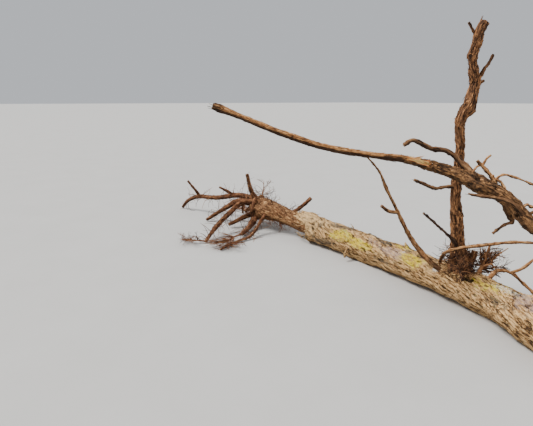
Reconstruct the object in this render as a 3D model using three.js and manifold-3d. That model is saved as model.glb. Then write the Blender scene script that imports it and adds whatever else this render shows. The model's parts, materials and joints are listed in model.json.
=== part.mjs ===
// A grapevine pulled out of the ground: it lies on its side, with its root crown at one end,
// the knobby head at the other, and two arms that rise from the trunk.
// Millimetres, +Z up. The ground is the plane z = 0 and nothing reaches below it.

import * as THREE from 'three';
import { mergeVertices } from 'three/addons/utils/BufferGeometryUtils.js';
import Module from 'manifold-3d';

const wasm = await Module();
wasm.setup();

// Driving dimensions

// Clear space between a limb and the limb that carries it.
const CLEARANCE = 0.3;

// Where the middle of the vine's footprint lies, measured from the root crown.
const FOOTPRINT_MIDDLE = [371, -106, 0];

// Every route is a short list of rows [x, y, z, thickness]: x runs along the trunk from the
// root crown to the head, y across it, z up from the ground.
const ROOTSTOCK = [
  [14, -17, 70, 58],
  [34, -16, 69, 80],
  [62, -14, 69, 78],
  [99, -11, 70, 70],
  [143, 2, 66, 59],
  [187, 12, 57, 52],
  [228, 22, 51, 52],
  [280, 30, 46, 50],
];
const TRUNK = [
  [246, 26, 47, 78],
  [266, 28, 45, 86],
  [330, 37, 43, 83],
  [430, 44, 42, 81],
  [520, 45, 41, 80],
  [610, 46, 41, 77],
  [720, 42, 41, 75],
  [820, 35, 41, 77],
  [920, 20, 41, 76],
  [1000, -4, 43, 88],
  [1058, -14, 46, 108],
  [1112, -16, 46, 96],
];
const UPRIGHT_ARM = [
  [818, 42, 52, 66],
  [811, 41, 90, 50],
  [805, 34, 132, 31],
  [800, 25, 195, 25],
  [795, 18, 250, 20],
  [794, 17, 305, 19],
  [794, 16, 355, 18],
  [790, 11, 400, 19],
  [792, 13, 422, 20],
  [796, 19, 434, 25],
  [799, 24, 446, 24],
  [801, 27, 466, 22.5],
  [802, 29, 486, 20],
  [800, 26, 505, 19.5],
  [797, 21, 528, 16],
  [796, 20, 546, 17.5],
  [798, 23, 566, 17],
  [801, 26, 590, 17],
  [805, 33, 606, 17],
];
const LONG_ARM = [
  [1048, -10, 78, 54],
  [1047, 2, 118, 36],
  [1028, 14, 168, 29],
  [1000, 9, 207, 26],
  [969, -9, 232, 25],
  [926, -28, 275, 25],
  [888, -50, 295, 30],
  [846, -73, 315, 23.5],
  [804, -99, 329, 19],
  [766, -127, 339, 14],
  [700, -175, 345, 12.5],
  [624, -233, 359, 14],
  [545, -305, 392, 13],
  [486, -352, 419, 13],
  [437, -391, 441, 16],
];
// The rows of its route where the long arm is split: where it has bent over, and where its
// wood is torn.
const LONG_ARM_CUTS = [0, 5, 9, 14];

// Side shoots and stubs: the route, and the limb or limbs that carry it.
const SIDE_SHOOTS = {
  side_shoot_wavy: { on: 'long_arm_middle', route: [
    [882, -50, 302, 15],
    [849, -55, 334, 11],
    [824, -73, 357, 10],
    [806, -100, 362, 9],
    [787, -131, 378, 8],
    [779, -150, 370, 8],
  ] },
  side_shoot_upper: { on: 'long_arm_middle', route: [
    [911, -37, 284, 13],
    [902, -29, 302, 9],
    [891, -35, 319, 7],
    [875, -51, 342, 5.6],
  ] },
  side_shoot_under: { on: ['long_arm_foot', 'long_arm_middle'], route: [
    [968, -15, 234, 7],
    [950, -33, 265, 5.8],
    [934, -43, 275, 5.5],
    [917, -61, 279, 5.3],
    [902, -77, 281, 4.9],
    [888, -89, 284, 4.4],
  ] },
  side_shoot_right: { on: 'long_arm_foot', route: [
    [950, -20, 254, 7],
    [954, -13, 262, 5.4],
    [957, -7, 266, 5],
    [961, 0, 262, 4.8],
    [971, 17, 260, 4.2],
  ] },
  side_shoot_curly: { on: ['long_arm_foot', 'long_arm_middle'], route: [
    [934, -24, 268, 8],
    [921, -25, 291, 4.8],
    [914, -28, 304, 4.4],
    [908, -36, 310, 4.2],
    [913, -19, 317, 4],
    [924, -4, 313, 3.8],
    [938, 13, 305, 3.6],
    [951, 29, 296, 3.2],
  ] },
  stub_under: { on: 'long_arm_foot', route: [
    [927, -27, 272, 17],
    [931, -20, 247, 12.5],
    [937, -12, 229, 7.5],
    [929, -24, 222, 5],
    [918, -40, 205, 4],
  ] },
  side_shoot_left: { on: 'upright_arm', route: [
    [795, 18, 270, 10],
    [788, -10, 272, 7.5],
    [781, -40, 271, 7],
    [770, -64, 281, 6.4],
    [762, -86, 291, 6],
  ] },
  shoot_dark: { on: 'upright_arm', route: [
    [808, 32, 130, 10],
    [807, -8, 164, 5.4],
    [797, -42, 192, 4.8],
    [786, -77, 222, 4.3],
  ] },
  shoot_tall: { on: 'trunk', route: [
    [795, 18, 60, 14],
    [750, -2, 94, 12],
    [726, -24, 132, 10.5],
    [712, -44, 172, 9],
    [701, -62, 210, 7.5],
    [694, -90, 258, 5.6],
    [686, -112, 302, 4.4],
    [675, -146, 339, 3.2],
  ] },
  shoot_orange: { on: 'trunk', route: [
    [764, 38, 60, 10],
    [772, 24, 90, 7.2],
    [797, 3, 121, 7],
    [824, 8, 137, 6.8],
    [850, 54, 143, 6.8],
    [880, 103, 149, 6.5],
    [908, 147, 148, 5.6],
    [922, 174, 143, 5],
  ] },
  shoot_low: { on: 'trunk', route: [
    [872, 40, 60, 11],
    [886, 62, 92, 7.5],
    [905, 85, 89, 6.6],
    [930, 94, 70, 6],
    [956, 99, 52, 4.5],
  ] },
  stub_behind: { on: 'rootstock', route: [
    [156, 14, 60, 16],
    [158, 50, 68, 14],
    [164, 86, 89, 14],
    [172, 116, 114, 12.6],
  ] },
};

// Main roots: those that show, then the three that the crown hides.
const ROOTS = {
  root_up: [
    [26, -16, 84, 26],
    [4, -30, 122, 17],
    [-2, -38, 156, 14],
    [-5, -44, 188, 11.5],
  ],
  root_face: [
    [30, -16, 92, 18],
    [40, -38, 103, 15],
    [52, -54, 80, 15],
    [48, -55, 57, 16],
    [40, -46, 31, 18],
    [36, -40, 12, 15],
  ],
  root_left: [
    [28, -24, 80, 26],
    [-44, -58, 84, 20],
    [-76, -92, 58, 18],
    [-104, -124, 31, 15],
    [-120, -160, 8, 11],
  ],
  root_front: [
    [34, -26, 86, 26],
    [18, -82, 92, 19],
    [38, -146, 66, 17.5],
    [70, -216, 34, 14],
    [116, -276, 7, 10],
  ],
  root_long: [
    [26, -10, 88, 26],
    [-82, -36, 96, 20],
    [-178, -82, 74, 18],
    [-272, -126, 66, 16.5],
    [-330, -146, 40, 14],
    [-364, -158, 8, 11],
  ],
  root_down: [
    [46, -24, 58, 30],
    [62, -62, 30, 22],
    [90, -100, 16, 18],
    [126, -146, 12, 13],
  ],
  root_short: [
    [32, -28, 54, 22],
    [16, -84, 32, 15],
    [6, -130, 14, 10.5],
  ],
  root_thin: [
    [100, -24, 62, 13],
    [122, -56, 56, 10.5],
    [134, -88, 30, 10],
    [158, -128, 12, 9.5],
    [168, -170, 7, 8.5],
    [178, -208, 6, 7.5],
    [194, -242, 6, 6.5],
    [210, -271, 5, 5],
  ],
  root_back: [
    [30, 2, 74, 26],
    [-32, 56, 72, 20],
    [-72, 98, 50, 17],
    [-108, 132, 28, 14],
    [-132, 166, 7, 10],
  ],
  root_back_low: [
    [44, 6, 54, 28],
    [62, 58, 42, 20],
    [70, 104, 20, 15],
    [92, 152, 6, 9],
  ],
  root_tail: [
    [26, -14, 56, 24],
    [-66, 4, 40, 18],
    [-112, 14, 20, 14],
    [-158, 34, 7, 10],
  ],
};

// Branch roots and spurs that are one piece with their limb.
const FORKS = {
  root_long: [
    [[-262, -120, 68, 12], [-268, -140, 98, 10], [-276, -166, 136, 9]],
    [[-104, -46, 94, 11], [-118, -72, 111, 9.5], [-134, -96, 126, 8.5]],
  ],
  root_front: [
    [[18, -74, 90, 11], [19, -80, 74, 9], [20, -80, 52, 7]],
  ],
  root_back: [
    [[-60, 86, 56, 11], [-90, 86, 64, 9.5], [-116, 92, 66, 8]],
  ],
  shoot_tall: [
    [[703, -58, 202, 8], [698, -84, 208, 8], [695, -106, 223, 7.5]],
  ],
  shoot_low: [
    [[903, 83, 89, 6], [917, 105, 100, 6.2], [932, 128, 127, 5]],
  ],
  side_shoot_upper: [
    [[881, -44, 332, 4.8], [883, -34, 345, 3.8], [886, -25, 352, 3.2]],
    [[880, -45, 334, 4.4], [876, -52, 330, 3.6], [873, -61, 320, 3]],
  ],
  long_arm_foot: [
    [[960, -14, 242, 7], [963, -5, 249, 5.4], [969, 11, 254, 4.6]],
  ],
  upright_arm: [
    [[799, 24, 500, 12], [803, 32, 501, 8.5], [807, 38, 504, 6.6], [809, 41, 512, 5.4],
      [812, 45.5, 522, 5], [815, 51, 532, 5.6], [818, 55, 545, 6.4]],
    [[799, 24, 480, 8], [806, 36, 488, 6], [812, 45, 494, 4.2]],
    [[800, 26, 574, 7], [793, 16, 590, 4.8], [787, 7, 606, 4]],
    [[822, 44, 84, 20], [831, 52, 104, 13], [834, 56, 124, 11]],
    [[797, 22, 540, 14], [792, 13, 546, 9]],
  ],
  trunk: [
    [[1072, 8, 66, 40], [1088, 34, 92, 28], [1100, 50, 112, 24]],
    [[1000, 6, 70, 34], [992, 24, 92, 24]],
    [[480, 20, 40, 14], [484, -6, 22, 8], [488, -12, 14, 6]],
  ],
};

// Masses of fine roots and twigs. Each grows from one stem and keeps to its own ellipsoid of
// space, given by its middle and its half sizes. `flat` is how far its twigs spread up and
// down, against 1 to the sides: a mass on the ground lies nearly flat.
const MASSES = {
  fine_roots_front: {
    at: [126, -146, 12], heading: [0.5, -0.86, 0.02], length: 120, thickness: 8, flat: 0.28,
    middle: [184, -226, 24], half: [80, 96, 32], twigs: 17, seed: 11, tipOf: 'root_down',
  },
  fine_roots_left: {
    at: [116, -276, 7], heading: [-0.35, -0.9, 0.06], length: 76, thickness: 6, flat: 0.3,
    middle: [84, -318, 20], half: [88, 50, 28], twigs: 10, seed: 23, tipOf: 'root_front',
  },
  fine_roots_under: {
    at: [92, 2, 50], heading: [0.55, 0.7, -0.3], length: 84, thickness: 7, flat: 0.5,
    middle: [124, 44, 34], half: [62, 52, 32], twigs: 8, seed: 37, on: 'rootstock',
  },
  fine_roots_top: {
    at: [48, -14, 90], heading: [0.2, 0.1, 1], length: 80, thickness: 5, flat: 1,
    middle: [52, -8, 142], half: [46, 44, 46], twigs: 6, seed: 41, on: 'rootstock',
  },
  fine_roots_back: {
    at: [92, 152, 6], heading: [0.75, 0.35, 0.06], length: 84, thickness: 6, flat: 0.3,
    middle: [134, 158, 22], half: [66, 44, 26], twigs: 8, seed: 53, tipOf: 'root_back_low',
  },
  fine_roots_tail: {
    at: [-158, 34, 7], heading: [-0.9, 0.4, 0.05], length: 80, thickness: 6, flat: 0.3,
    middle: [-196, 44, 22], half: [60, 56, 28], twigs: 8, seed: 67, tipOf: 'root_tail',
  },
  fork_twigs_right: {
    at: [850, 44, 66], heading: [0.25, 0.6, 0.75], length: 84, thickness: 11, flat: 1,
    middle: [872, 70, 102], half: [56, 60, 46], twigs: 17, seed: 73, on: 'trunk',
  },
  fork_twigs_front: {
    at: [842, 8, 60], heading: [0.2, -0.35, 0.9], length: 56, thickness: 8, flat: 1,
    middle: [848, -6, 98], half: [44, 36, 36], twigs: 10, seed: 89, on: 'trunk',
  },
};

// How a twig wanders: its steps, the most that its heading turns at one, and how much thinner
// its tip is. A stem turns less. Twigs set off at up to TWIG_SPREAD from their stem's heading,
// and one that leaves its space or comes too near a limb is skipped and another one tried.
const TWIG_STEPS = 3;
const TWIG_RINGS = 2;
const TWIG_TURN = 0.5;
const STEM_TURN = 0.16;
const TWIG_TIP = 0.4;
const TWIG_SPREAD = 1.1;
const TWIG_LENGTH = 0.55;
const TWIG_THICKNESS = 0.62;
const TWIG_MARGIN = 1.5;
const TWIG_TRIES = 8;

// Finishes, as the bare wood shows them.
const FINISHES = {
  trunk_bark: { color: 0xb59a78, roughness: 0.95, metalness: 0 },
  rootstock_bark: { color: 0x8a5c40, roughness: 0.95, metalness: 0 },
  arm_bark: { color: 0x6e4a30, roughness: 0.93, metalness: 0 },
  shoot_bark: { color: 0xa87446, roughness: 0.85, metalness: 0 },
  root_bark: { color: 0x7d4c30, roughness: 0.92, metalness: 0 },
  fine_roots: { color: 0x9a6a45, roughness: 0.9, metalness: 0 },
};

// Shape helpers

function smooth(x) {
  return x * x * (3 - 2 * x);
}

function thicknessAt(route, t) {
  const place = t * (route.length - 1);
  const leg = Math.min(Math.floor(place), route.length - 2);
  return THREE.MathUtils.lerp(route[leg][3], route[leg + 1][3], smooth(place - leg));
}

function curveOf(route) {
  const points = route.map(([x, y, z]) => new THREE.Vector3(x, y, z));
  return new THREE.CatmullRomCurve3(points, false, 'catmullrom', 0.5);
}

// A limb is a closed cylinder bent along its route. Each ring is turned as little as possible
// from the one before it, so that the bark doesn't twist. `swell` adds to the radius at a
// fraction t along and an angle a round, where a = 0 is the upper side, `round` is the share
// of the length that closes in a dome, and `grow` makes the limb larger all over.
function limb(route, { sides = 8, rings, from = 0, to = 1, swell, round = 0, grow = 0 } = {}) {
  const curve = curveOf(route);
  const count = rings ?? Math.round(3 * (route.length - 1) * (to - from));
  const frames = [];
  for (let i = 0; i <= count; i += 1) {
    const t = THREE.MathUtils.lerp(from, to, i / count);
    const along = curve.getTangent(t);
    const previous = frames[i - 1];
    const across = previous ? previous.across.clone() : new THREE.Vector3(0, 0, 1);
    if (previous) {
      across.applyQuaternion(new THREE.Quaternion().setFromUnitVectors(previous.along, along));
    } else if (Math.abs(along.z) > 0.9) {
      across.set(1, 0, 0);
    }
    across.addScaledVector(along, -across.dot(along)).normalize();
    const side = new THREE.Vector3().crossVectors(across, along);
    const centre = curve.getPoint(t);
    if (i === 0) centre.addScaledVector(along, -grow);
    if (i === count) centre.addScaledVector(along, grow);
    frames.push({ t, along, across, side, centre });
  }
  const geometry = new THREE.CylinderGeometry(1, 1, 1, sides, count);
  const position = geometry.attributes.position;
  const point = new THREE.Vector3();
  for (let i = 0; i < position.count; i += 1) {
    point.fromBufferAttribute(position, i);
    const frame = frames[Math.round((point.y + 0.5) * count)];
    const angle = Math.atan2(point.z, point.x);
    const dome = round > 0 ? Math.max(0, (frame.t - (to - round)) / round) : 0;
    const plain = thicknessAt(route, frame.t) / 2 + (swell ? swell(frame.t, angle) : 0);
    const radius = plain * Math.sqrt(Math.max(0.12, 1 - dome * dome)) + grow;
    const place = frame.centre.clone();
    place.addScaledVector(frame.across, point.x * radius);
    place.addScaledVector(frame.side, point.z * radius);
    position.setXYZ(i, place.x, place.y, place.z);
  }
  return geometry;
}

// Solids

function solidOf(geometry) {
  geometry.deleteAttribute('normal');
  geometry.deleteAttribute('uv');
  const merged = mergeVertices(geometry, 1e-3);
  return new wasm.Manifold(new wasm.Mesh({
    numProp: 3,
    vertProperties: new Float32Array(merged.attributes.position.array),
    triVerts: new Uint32Array(merged.index.array),
  }));
}

const BELOW_GROUND = solidOf(new THREE.BoxGeometry(4000, 4000, 200).translate(0, 0, -100));

function largest(solid) {
  const pieces = solid.decompose();
  return pieces.reduce((best, piece) => (piece.volume() > best.volume() ? piece : best));
}

function meshOf(name, solid, finish) {
  const { vertProperties, triVerts } = solid.getMesh();
  const geometry = new THREE.BufferGeometry();
  geometry.setAttribute('position', new THREE.BufferAttribute(new Float32Array(vertProperties), 3));
  geometry.setIndex(new THREE.BufferAttribute(new Uint32Array(triVerts), 1));
  geometry.computeVertexNormals();
  const mesh = new THREE.Mesh(geometry, new THREE.MeshStandardMaterial(FINISHES[finish]));
  mesh.name = name;
  return mesh;
}

// Limbs

const vine = new THREE.Group();
const carriers = {};
const limbLines = [];

function remember(route, from, to) {
  const points = curveOf(route).getPoints(route.length * 4);
  for (let i = 1; i < points.length; i += 1) {
    const t = i / (points.length - 1);
    if (t < from || t > to) continue;
    const line = new THREE.Line3(points[i - 1], points[i]);
    limbLines.push({ line, radius: thicknessAt(route, t) / 2 });
  }
}

// Makes a limb with its forks, cuts it clear of the limbs named in `clearOf`, and keeps a
// slightly larger copy of it for cutting whatever it carries.
function addLimb(name, route, finish, shape = {}, clearOf = []) {
  const forks = FORKS[name] ?? [];
  const build = (grow) => {
    let solid = solidOf(limb(route, { ...shape, grow }));
    for (const fork of forks) {
      solid = solid.add(solidOf(limb(fork, { sides: 6, rings: 2 * (fork.length - 1), grow })));
    }
    return solid;
  };
  let solid = build(0).subtract(BELOW_GROUND);
  for (const other of clearOf) solid = solid.subtract(carriers[other]);
  carriers[name] = build(CLEARANCE);
  remember(route, shape.from ?? 0, shape.to ?? 1);
  for (const fork of forks) remember(fork, 0, 1);
  vine.add(meshOf(name, largest(solid), finish));
}

// A knot is a bump on the trunk at a fraction t along it and an angle round it.
const TRUNK_KNOTS = [
  { t: 0.11, angle: 0.4, height: 5, length: 0.035, width: 0.9 },
  { t: 0.3, angle: -0.6, height: 4, length: 0.025, width: 0.6 },
  { t: 0.47, angle: 0.9, height: 4, length: 0.03, width: 0.7 },
  { t: 0.6, angle: -0.9, height: 5, length: 0.025, width: 0.6 },
  { t: 0.83, angle: 0.5, height: 7, length: 0.03, width: 0.8 },
  { t: 0.93, angle: -1.6, height: 9, length: 0.035, width: 0.8 },
  { t: 0.96, angle: 1.9, height: 10, length: 0.03, width: 0.8 },
];

function bump(value, middle, width) {
  return Math.exp(-(((value - middle) / width) ** 2));
}

// Ribs of thicker wood wind round the trunk with its grain, and it swells a little between them
// every 62 mm along.
const GRAIN_TURN = 4.8;
const RIBS = 4;
const SWELLINGS = 14;

function trunkRibs(t, angle) {
  const wound = RIBS * (angle + GRAIN_TURN * t) + 1.2 * Math.sin(17 * t);
  const ribs = 2 * Math.sin(wound) * (0.7 + 0.3 * Math.sin(37 * t + 2 * angle));
  return ribs + 1.2 * Math.sin(2 * Math.PI * SWELLINGS * t - 2 * angle);
}

function trunkSwell(t, angle) {
  const lobes = 1.6 * Math.sin(3 * angle + 9 * t) + 1.1 * Math.sin(5 * angle - 14 * t + 1);
  const knots = TRUNK_KNOTS.map((knot) => {
    const turn = Math.atan2(Math.sin(angle - knot.angle), Math.cos(angle - knot.angle));
    return knot.height * bump(t, knot.t, knot.length) * bump(turn, 0, knot.width);
  });
  return lobes + trunkRibs(t, angle) + knots.reduce((sum, height) => sum + height, 0);
}

function crownSwell(t, angle) {
  const lumps = 3.5 * Math.sin(3 * angle + 1.2) * bump(t, 0.16, 0.2);
  return lumps + 1.4 * Math.sin(5 * angle + 8 * t);
}

function armSwell(t, angle) {
  return 1.1 * Math.sin(3 * angle + 11 * t) * (1 - 0.7 * t);
}

addLimb('rootstock', ROOTSTOCK, 'rootstock_bark', { sides: 18, rings: 16, swell: crownSwell });
addLimb('trunk', TRUNK, 'trunk_bark', {
  sides: 28, rings: 72, swell: trunkSwell, round: 0.05,
}, ['rootstock']);
addLimb('upright_arm', UPRIGHT_ARM, 'arm_bark', { sides: 10, rings: 36, swell: armSwell }, ['trunk']);

// The long arm's three lengths meet end to end, with the clearance between their cut ends.
const LONG_ARM_NAMES = ['long_arm_foot', 'long_arm_middle', 'long_arm_outer'];
const longArmLegs = LONG_ARM.length - 1;
const longArmLength = curveOf(LONG_ARM).getLength();
LONG_ARM_NAMES.forEach((name, i) => {
  const from = LONG_ARM_CUTS[i] / longArmLegs + (i > 0 ? CLEARANCE / longArmLength : 0);
  const to = LONG_ARM_CUTS[i + 1] / longArmLegs;
  const clearOf = i === 0 ? ['trunk'] : [];
  addLimb(name, LONG_ARM, 'arm_bark', { sides: 10, swell: armSwell, from, to }, clearOf);
});

for (const [name, { on, route }] of Object.entries(SIDE_SHOOTS)) {
  addLimb(name, route, 'shoot_bark', { sides: 7, rings: 2 * (route.length - 1) }, [on].flat());
}

const rootNames = Object.keys(ROOTS);
rootNames.forEach((name, i) => {
  const earlier = rootNames.slice(0, i);
  addLimb(name, ROOTS[name], 'root_bark', { sides: 8 }, ['rootstock', ...earlier]);
});

// Masses of fine roots and twigs

// A repeatable run of numbers between 0 and 1, the same for the same seed.
function randomFrom(seed) {
  let state = seed;
  return () => {
    state = (state * 48271) % 2147483647;
    return state / 2147483647;
  };
}

function spread(random, size, flat) {
  const turn = new THREE.Vector3(random() - 0.5, random() - 0.5, (random() - 0.5) * flat);
  return turn.multiplyScalar(2 * size);
}

// One twig's route: at each step its heading turns a little at random.
function wander(start, heading, length, thickness, turn, flat, random) {
  const place = start.clone();
  const ahead = heading.clone().normalize();
  const rows = [[place.x, place.y, place.z, thickness]];
  for (let step = 1; step <= TWIG_STEPS; step += 1) {
    ahead.add(spread(random, turn, flat)).normalize();
    place.addScaledVector(ahead, length / TWIG_STEPS);
    const thinner = THREE.MathUtils.lerp(1, TWIG_TIP, step / TWIG_STEPS);
    rows.push([place.x, place.y, place.z, thickness * thinner]);
  }
  return rows;
}

function keepsToItsSpace(route, middle, half) {
  const nearest = new THREE.Vector3();
  return curveOf(route).getPoints(6).every((point) => {
    const out = point.clone().sub(middle).divide(half).length();
    const room = route[0][3] / 2 + TWIG_MARGIN;
    if (out > 1 || point.z < room) return false;
    return limbLines.every(({ line, radius }) => {
      line.closestPointToPoint(point, true, nearest);
      return nearest.distanceTo(point) > radius + room;
    });
  });
}

function addMass(name, mass) {
  const { length, thickness, flat, twigs } = mass;
  const random = randomFrom(mass.seed);
  const middle = new THREE.Vector3(...mass.middle);
  const half = new THREE.Vector3(...mass.half);
  const start = new THREE.Vector3(...mass.at);
  const heading = new THREE.Vector3(...mass.heading);
  const stem = wander(start, heading, length, thickness, STEM_TURN, flat, random);
  const stemCurve = curveOf(stem);
  let solid = solidOf(limb(stem, { sides: 3, rings: 2 * TWIG_STEPS }));
  let grown = 0;
  for (let tried = 0; tried < twigs * TWIG_TRIES && grown < twigs; tried += 1) {
    const t = 0.3 + 0.68 * random();
    const ahead = stemCurve.getTangent(t).add(spread(random, TWIG_SPREAD, flat));
    const reach = length * TWIG_LENGTH * (0.6 + 0.8 * random());
    const girth = thicknessAt(stem, t) * TWIG_THICKNESS;
    const twig = wander(stemCurve.getPoint(t), ahead, reach, girth, TWIG_TURN, flat, random);
    if (!keepsToItsSpace(twig, middle, half)) continue;
    solid = solid.add(solidOf(limb(twig, { sides: 3, rings: TWIG_RINGS })));
    grown += 1;
  }
  solid = solid.subtract(carriers[mass.on ?? mass.tipOf]).subtract(BELOW_GROUND);
  vine.add(meshOf(name, largest(solid), 'fine_roots'));
}

for (const [name, mass] of Object.entries(MASSES)) addMass(name, mass);

// The whole vine is moved so that its origin is the middle of its footprint on the ground.
vine.position.set(-FOOTPRINT_MIDDLE[0], -FOOTPRINT_MIDDLE[1], -FOOTPRINT_MIDDLE[2]);

export default vine;
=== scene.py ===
# %% [markdown]
# # A grapevine pulled out of the ground
#
# The vine lies on its side. At one end is the root crown with its broken roots, then a reddish
# rootstock shank, the ragged graft union, a fibrous trunk with lichen on it, and a knobby head.
# Two arms rise from it: one stands straight up, and a long one bends over and runs back. The
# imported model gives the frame: where every limb is, and how large. Here each limb is made again
# as a fine surface with real bark relief, in the same place and at the same size.

# %% The frame that everything is built in
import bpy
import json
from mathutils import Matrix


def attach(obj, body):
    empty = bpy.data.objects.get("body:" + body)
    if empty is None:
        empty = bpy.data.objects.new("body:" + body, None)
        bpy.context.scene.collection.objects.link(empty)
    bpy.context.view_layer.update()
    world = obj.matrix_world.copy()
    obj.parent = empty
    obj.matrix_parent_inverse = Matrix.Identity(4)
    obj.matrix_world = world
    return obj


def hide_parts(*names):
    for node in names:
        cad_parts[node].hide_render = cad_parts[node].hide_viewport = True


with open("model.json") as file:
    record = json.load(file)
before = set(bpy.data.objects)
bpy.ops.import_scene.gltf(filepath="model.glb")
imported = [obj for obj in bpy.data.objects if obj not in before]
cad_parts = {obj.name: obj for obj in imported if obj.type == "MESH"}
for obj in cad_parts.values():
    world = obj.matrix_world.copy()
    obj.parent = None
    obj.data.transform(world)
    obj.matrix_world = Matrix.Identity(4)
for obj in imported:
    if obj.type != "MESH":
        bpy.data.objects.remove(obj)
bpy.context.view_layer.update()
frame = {"nodes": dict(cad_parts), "record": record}
print("nodes in the frame:", len(frame["nodes"]))

# %% [markdown]
# ## The camera
#
# The camera stands knee-high beside the vine, looks along it and a little down. A camera could
# be aimed by eye, but here its tilt follows from the horizon in the picture: the further the
# horizon lies above the middle of the picture, the more the camera looks down.

# %% Camera
import json
import math

import bpy
import numpy as np
from mathutils import Vector

PICTURE_WIDTH, PICTURE_HEIGHT = 533, 426
FOCAL_PIXELS = 427
HORIZON_PIXEL_ROW = 100
SENSOR_WIDTH = 36
EYE = Vector((0.968, -0.733, 0.455))
AZIMUTH = math.radians(56.8)

pitch = math.atan((PICTURE_HEIGHT / 2 - HORIZON_PIXEL_ROW) / FOCAL_PIXELS)
level = math.cos(pitch)
gaze = Vector((-math.sin(AZIMUTH) * level, math.cos(AZIMUTH) * level, -math.sin(pitch)))
camera_data = bpy.data.cameras.new("camera")
camera_data.sensor_width = SENSOR_WIDTH
camera_data.lens = SENSOR_WIDTH * FOCAL_PIXELS / PICTURE_WIDTH
camera = bpy.data.objects.new("camera", camera_data)
camera.location = EYE
camera.rotation_euler = gaze.to_track_quat("-Z", "Y").to_euler()
bpy.context.scene.collection.objects.link(camera)
bpy.context.scene.camera = camera
print("lens %.1f mm, looking %.1f degrees down" % (camera_data.lens, math.degrees(pitch)))

# %% [markdown]
# ## The routes of the limbs
#
# A limb could be sculpted, but a plant reads best as a few routes: rows of x, y, z and thickness
# in millimetres, measured from the root crown, joined by a smooth curve. They are the same rows
# as the solids have, so the fine bark lies exactly where the solids are.

# %% Routes of the trunk and the arms
# The middle of the footprint, where the frame has its origin, in mm from the root crown.
FOOTPRINT_MIDDLE = (371, -106, 0)
ROOTSTOCK = [
    (14, -17, 70, 58), (34, -16, 69, 80), (62, -14, 69, 78), (99, -11, 70, 70), (143, 2, 66, 59),
    (187, 12, 57, 52), (228, 22, 51, 52), (280, 30, 46, 50),
]
TRUNK = [
    (246, 26, 47, 78), (266, 28, 45, 86), (330, 37, 43, 83), (430, 44, 42, 81),
    (520, 45, 41, 80), (610, 46, 41, 77), (720, 42, 41, 75), (820, 35, 41, 77),
    (920, 20, 41, 76), (1000, -4, 43, 88), (1058, -14, 46, 108), (1112, -16, 46, 96),
]
UPRIGHT_ARM = [
    (818, 42, 52, 66), (811, 41, 90, 50), (805, 34, 132, 31), (800, 25, 195, 25),
    (795, 18, 250, 20), (794, 17, 305, 19), (794, 16, 355, 18), (790, 11, 400, 19),
    (792, 13, 422, 20), (796, 19, 434, 25), (799, 24, 446, 24), (801, 27, 466, 22.5),
    (802, 29, 486, 20), (800, 26, 505, 19.5), (797, 21, 528, 16), (796, 20, 546, 17.5),
    (798, 23, 566, 17), (801, 26, 590, 17), (805, 33, 606, 17),
]
LONG_ARM = [
    (1048, -10, 78, 54), (1047, 2, 118, 36), (1028, 14, 168, 29), (1000, 9, 207, 26),
    (969, -9, 232, 25), (926, -28, 275, 25), (888, -50, 295, 30), (846, -73, 315, 23.5),
    (804, -99, 329, 19), (766, -127, 339, 14), (700, -175, 345, 12.5), (624, -233, 359, 14),
    (545, -305, 392, 13), (486, -352, 419, 13), (437, -391, 441, 16),
]
# The long arm is three pieces, each from one of its rows to another.
LONG_ARM_CUTS = {"long_arm_foot": (0, 5), "long_arm_middle": (5, 9), "long_arm_outer": (9, 14)}
THICK_LIMBS = [ROOTSTOCK, TRUNK, UPRIGHT_ARM, LONG_ARM]
print("rows of the thick limbs:", sum(map(len, THICK_LIMBS)))

# %% Routes of the side shoots
SIDE_SHOOTS = {
    "side_shoot_wavy": [
        (882, -50, 302, 15), (849, -55, 334, 11), (824, -73, 357, 10), (806, -100, 362, 9),
        (787, -131, 378, 8), (779, -150, 370, 8),
    ],
    "side_shoot_upper": [
        (911, -37, 284, 13), (902, -29, 302, 9), (891, -35, 319, 7), (875, -51, 342, 5.6),
    ],
    "side_shoot_under": [
        (968, -15, 234, 7), (950, -33, 265, 5.8), (934, -43, 275, 5.5), (917, -61, 279, 5.3),
        (902, -77, 281, 4.9), (888, -89, 284, 4.4),
    ],
    "side_shoot_right": [
        (950, -20, 254, 7), (954, -13, 262, 5.4), (957, -7, 266, 5), (961, 0, 262, 4.8),
        (971, 17, 260, 4.2),
    ],
    "side_shoot_curly": [
        (934, -24, 268, 8), (921, -25, 291, 4.8), (914, -28, 304, 4.4), (908, -36, 310, 4.2),
        (913, -19, 317, 4), (924, -4, 313, 3.8), (938, 13, 305, 3.6), (951, 29, 296, 3.2),
    ],
    "stub_under": [
        (927, -27, 272, 17), (931, -20, 247, 12.5), (937, -12, 229, 7.5), (929, -24, 222, 5),
        (918, -40, 205, 4),
    ],
    "side_shoot_left": [
        (795, 18, 270, 10), (788, -10, 272, 7.5), (781, -40, 271, 7), (770, -64, 281, 6.4),
        (762, -86, 291, 6),
    ],
    "shoot_dark": [
        (808, 32, 130, 10), (807, -8, 164, 5.4), (797, -42, 192, 4.8), (786, -77, 222, 4.3),
    ],
    "shoot_tall": [
        (795, 18, 60, 14), (750, -2, 94, 12), (726, -24, 132, 10.5), (712, -44, 172, 9),
        (701, -62, 210, 7.5), (694, -90, 258, 5.6), (686, -112, 302, 4.4), (675, -146, 339, 3.2),
    ],
    "shoot_orange": [
        (764, 38, 60, 10), (772, 24, 90, 7.2), (797, 3, 121, 7), (824, 8, 137, 6.8),
        (850, 54, 143, 6.8), (880, 103, 149, 6.5), (908, 147, 148, 5.6), (922, 174, 143, 5),
    ],
    "shoot_low": [
        (872, 40, 60, 11), (886, 62, 92, 7.5), (905, 85, 89, 6.6), (930, 94, 70, 6),
        (956, 99, 52, 4.5),
    ],
    "stub_behind": [
        (156, 14, 60, 16), (158, 50, 68, 14), (164, 86, 89, 14), (172, 116, 114, 12.6),
    ],
}
print("side shoots:", len(SIDE_SHOOTS))

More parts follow.
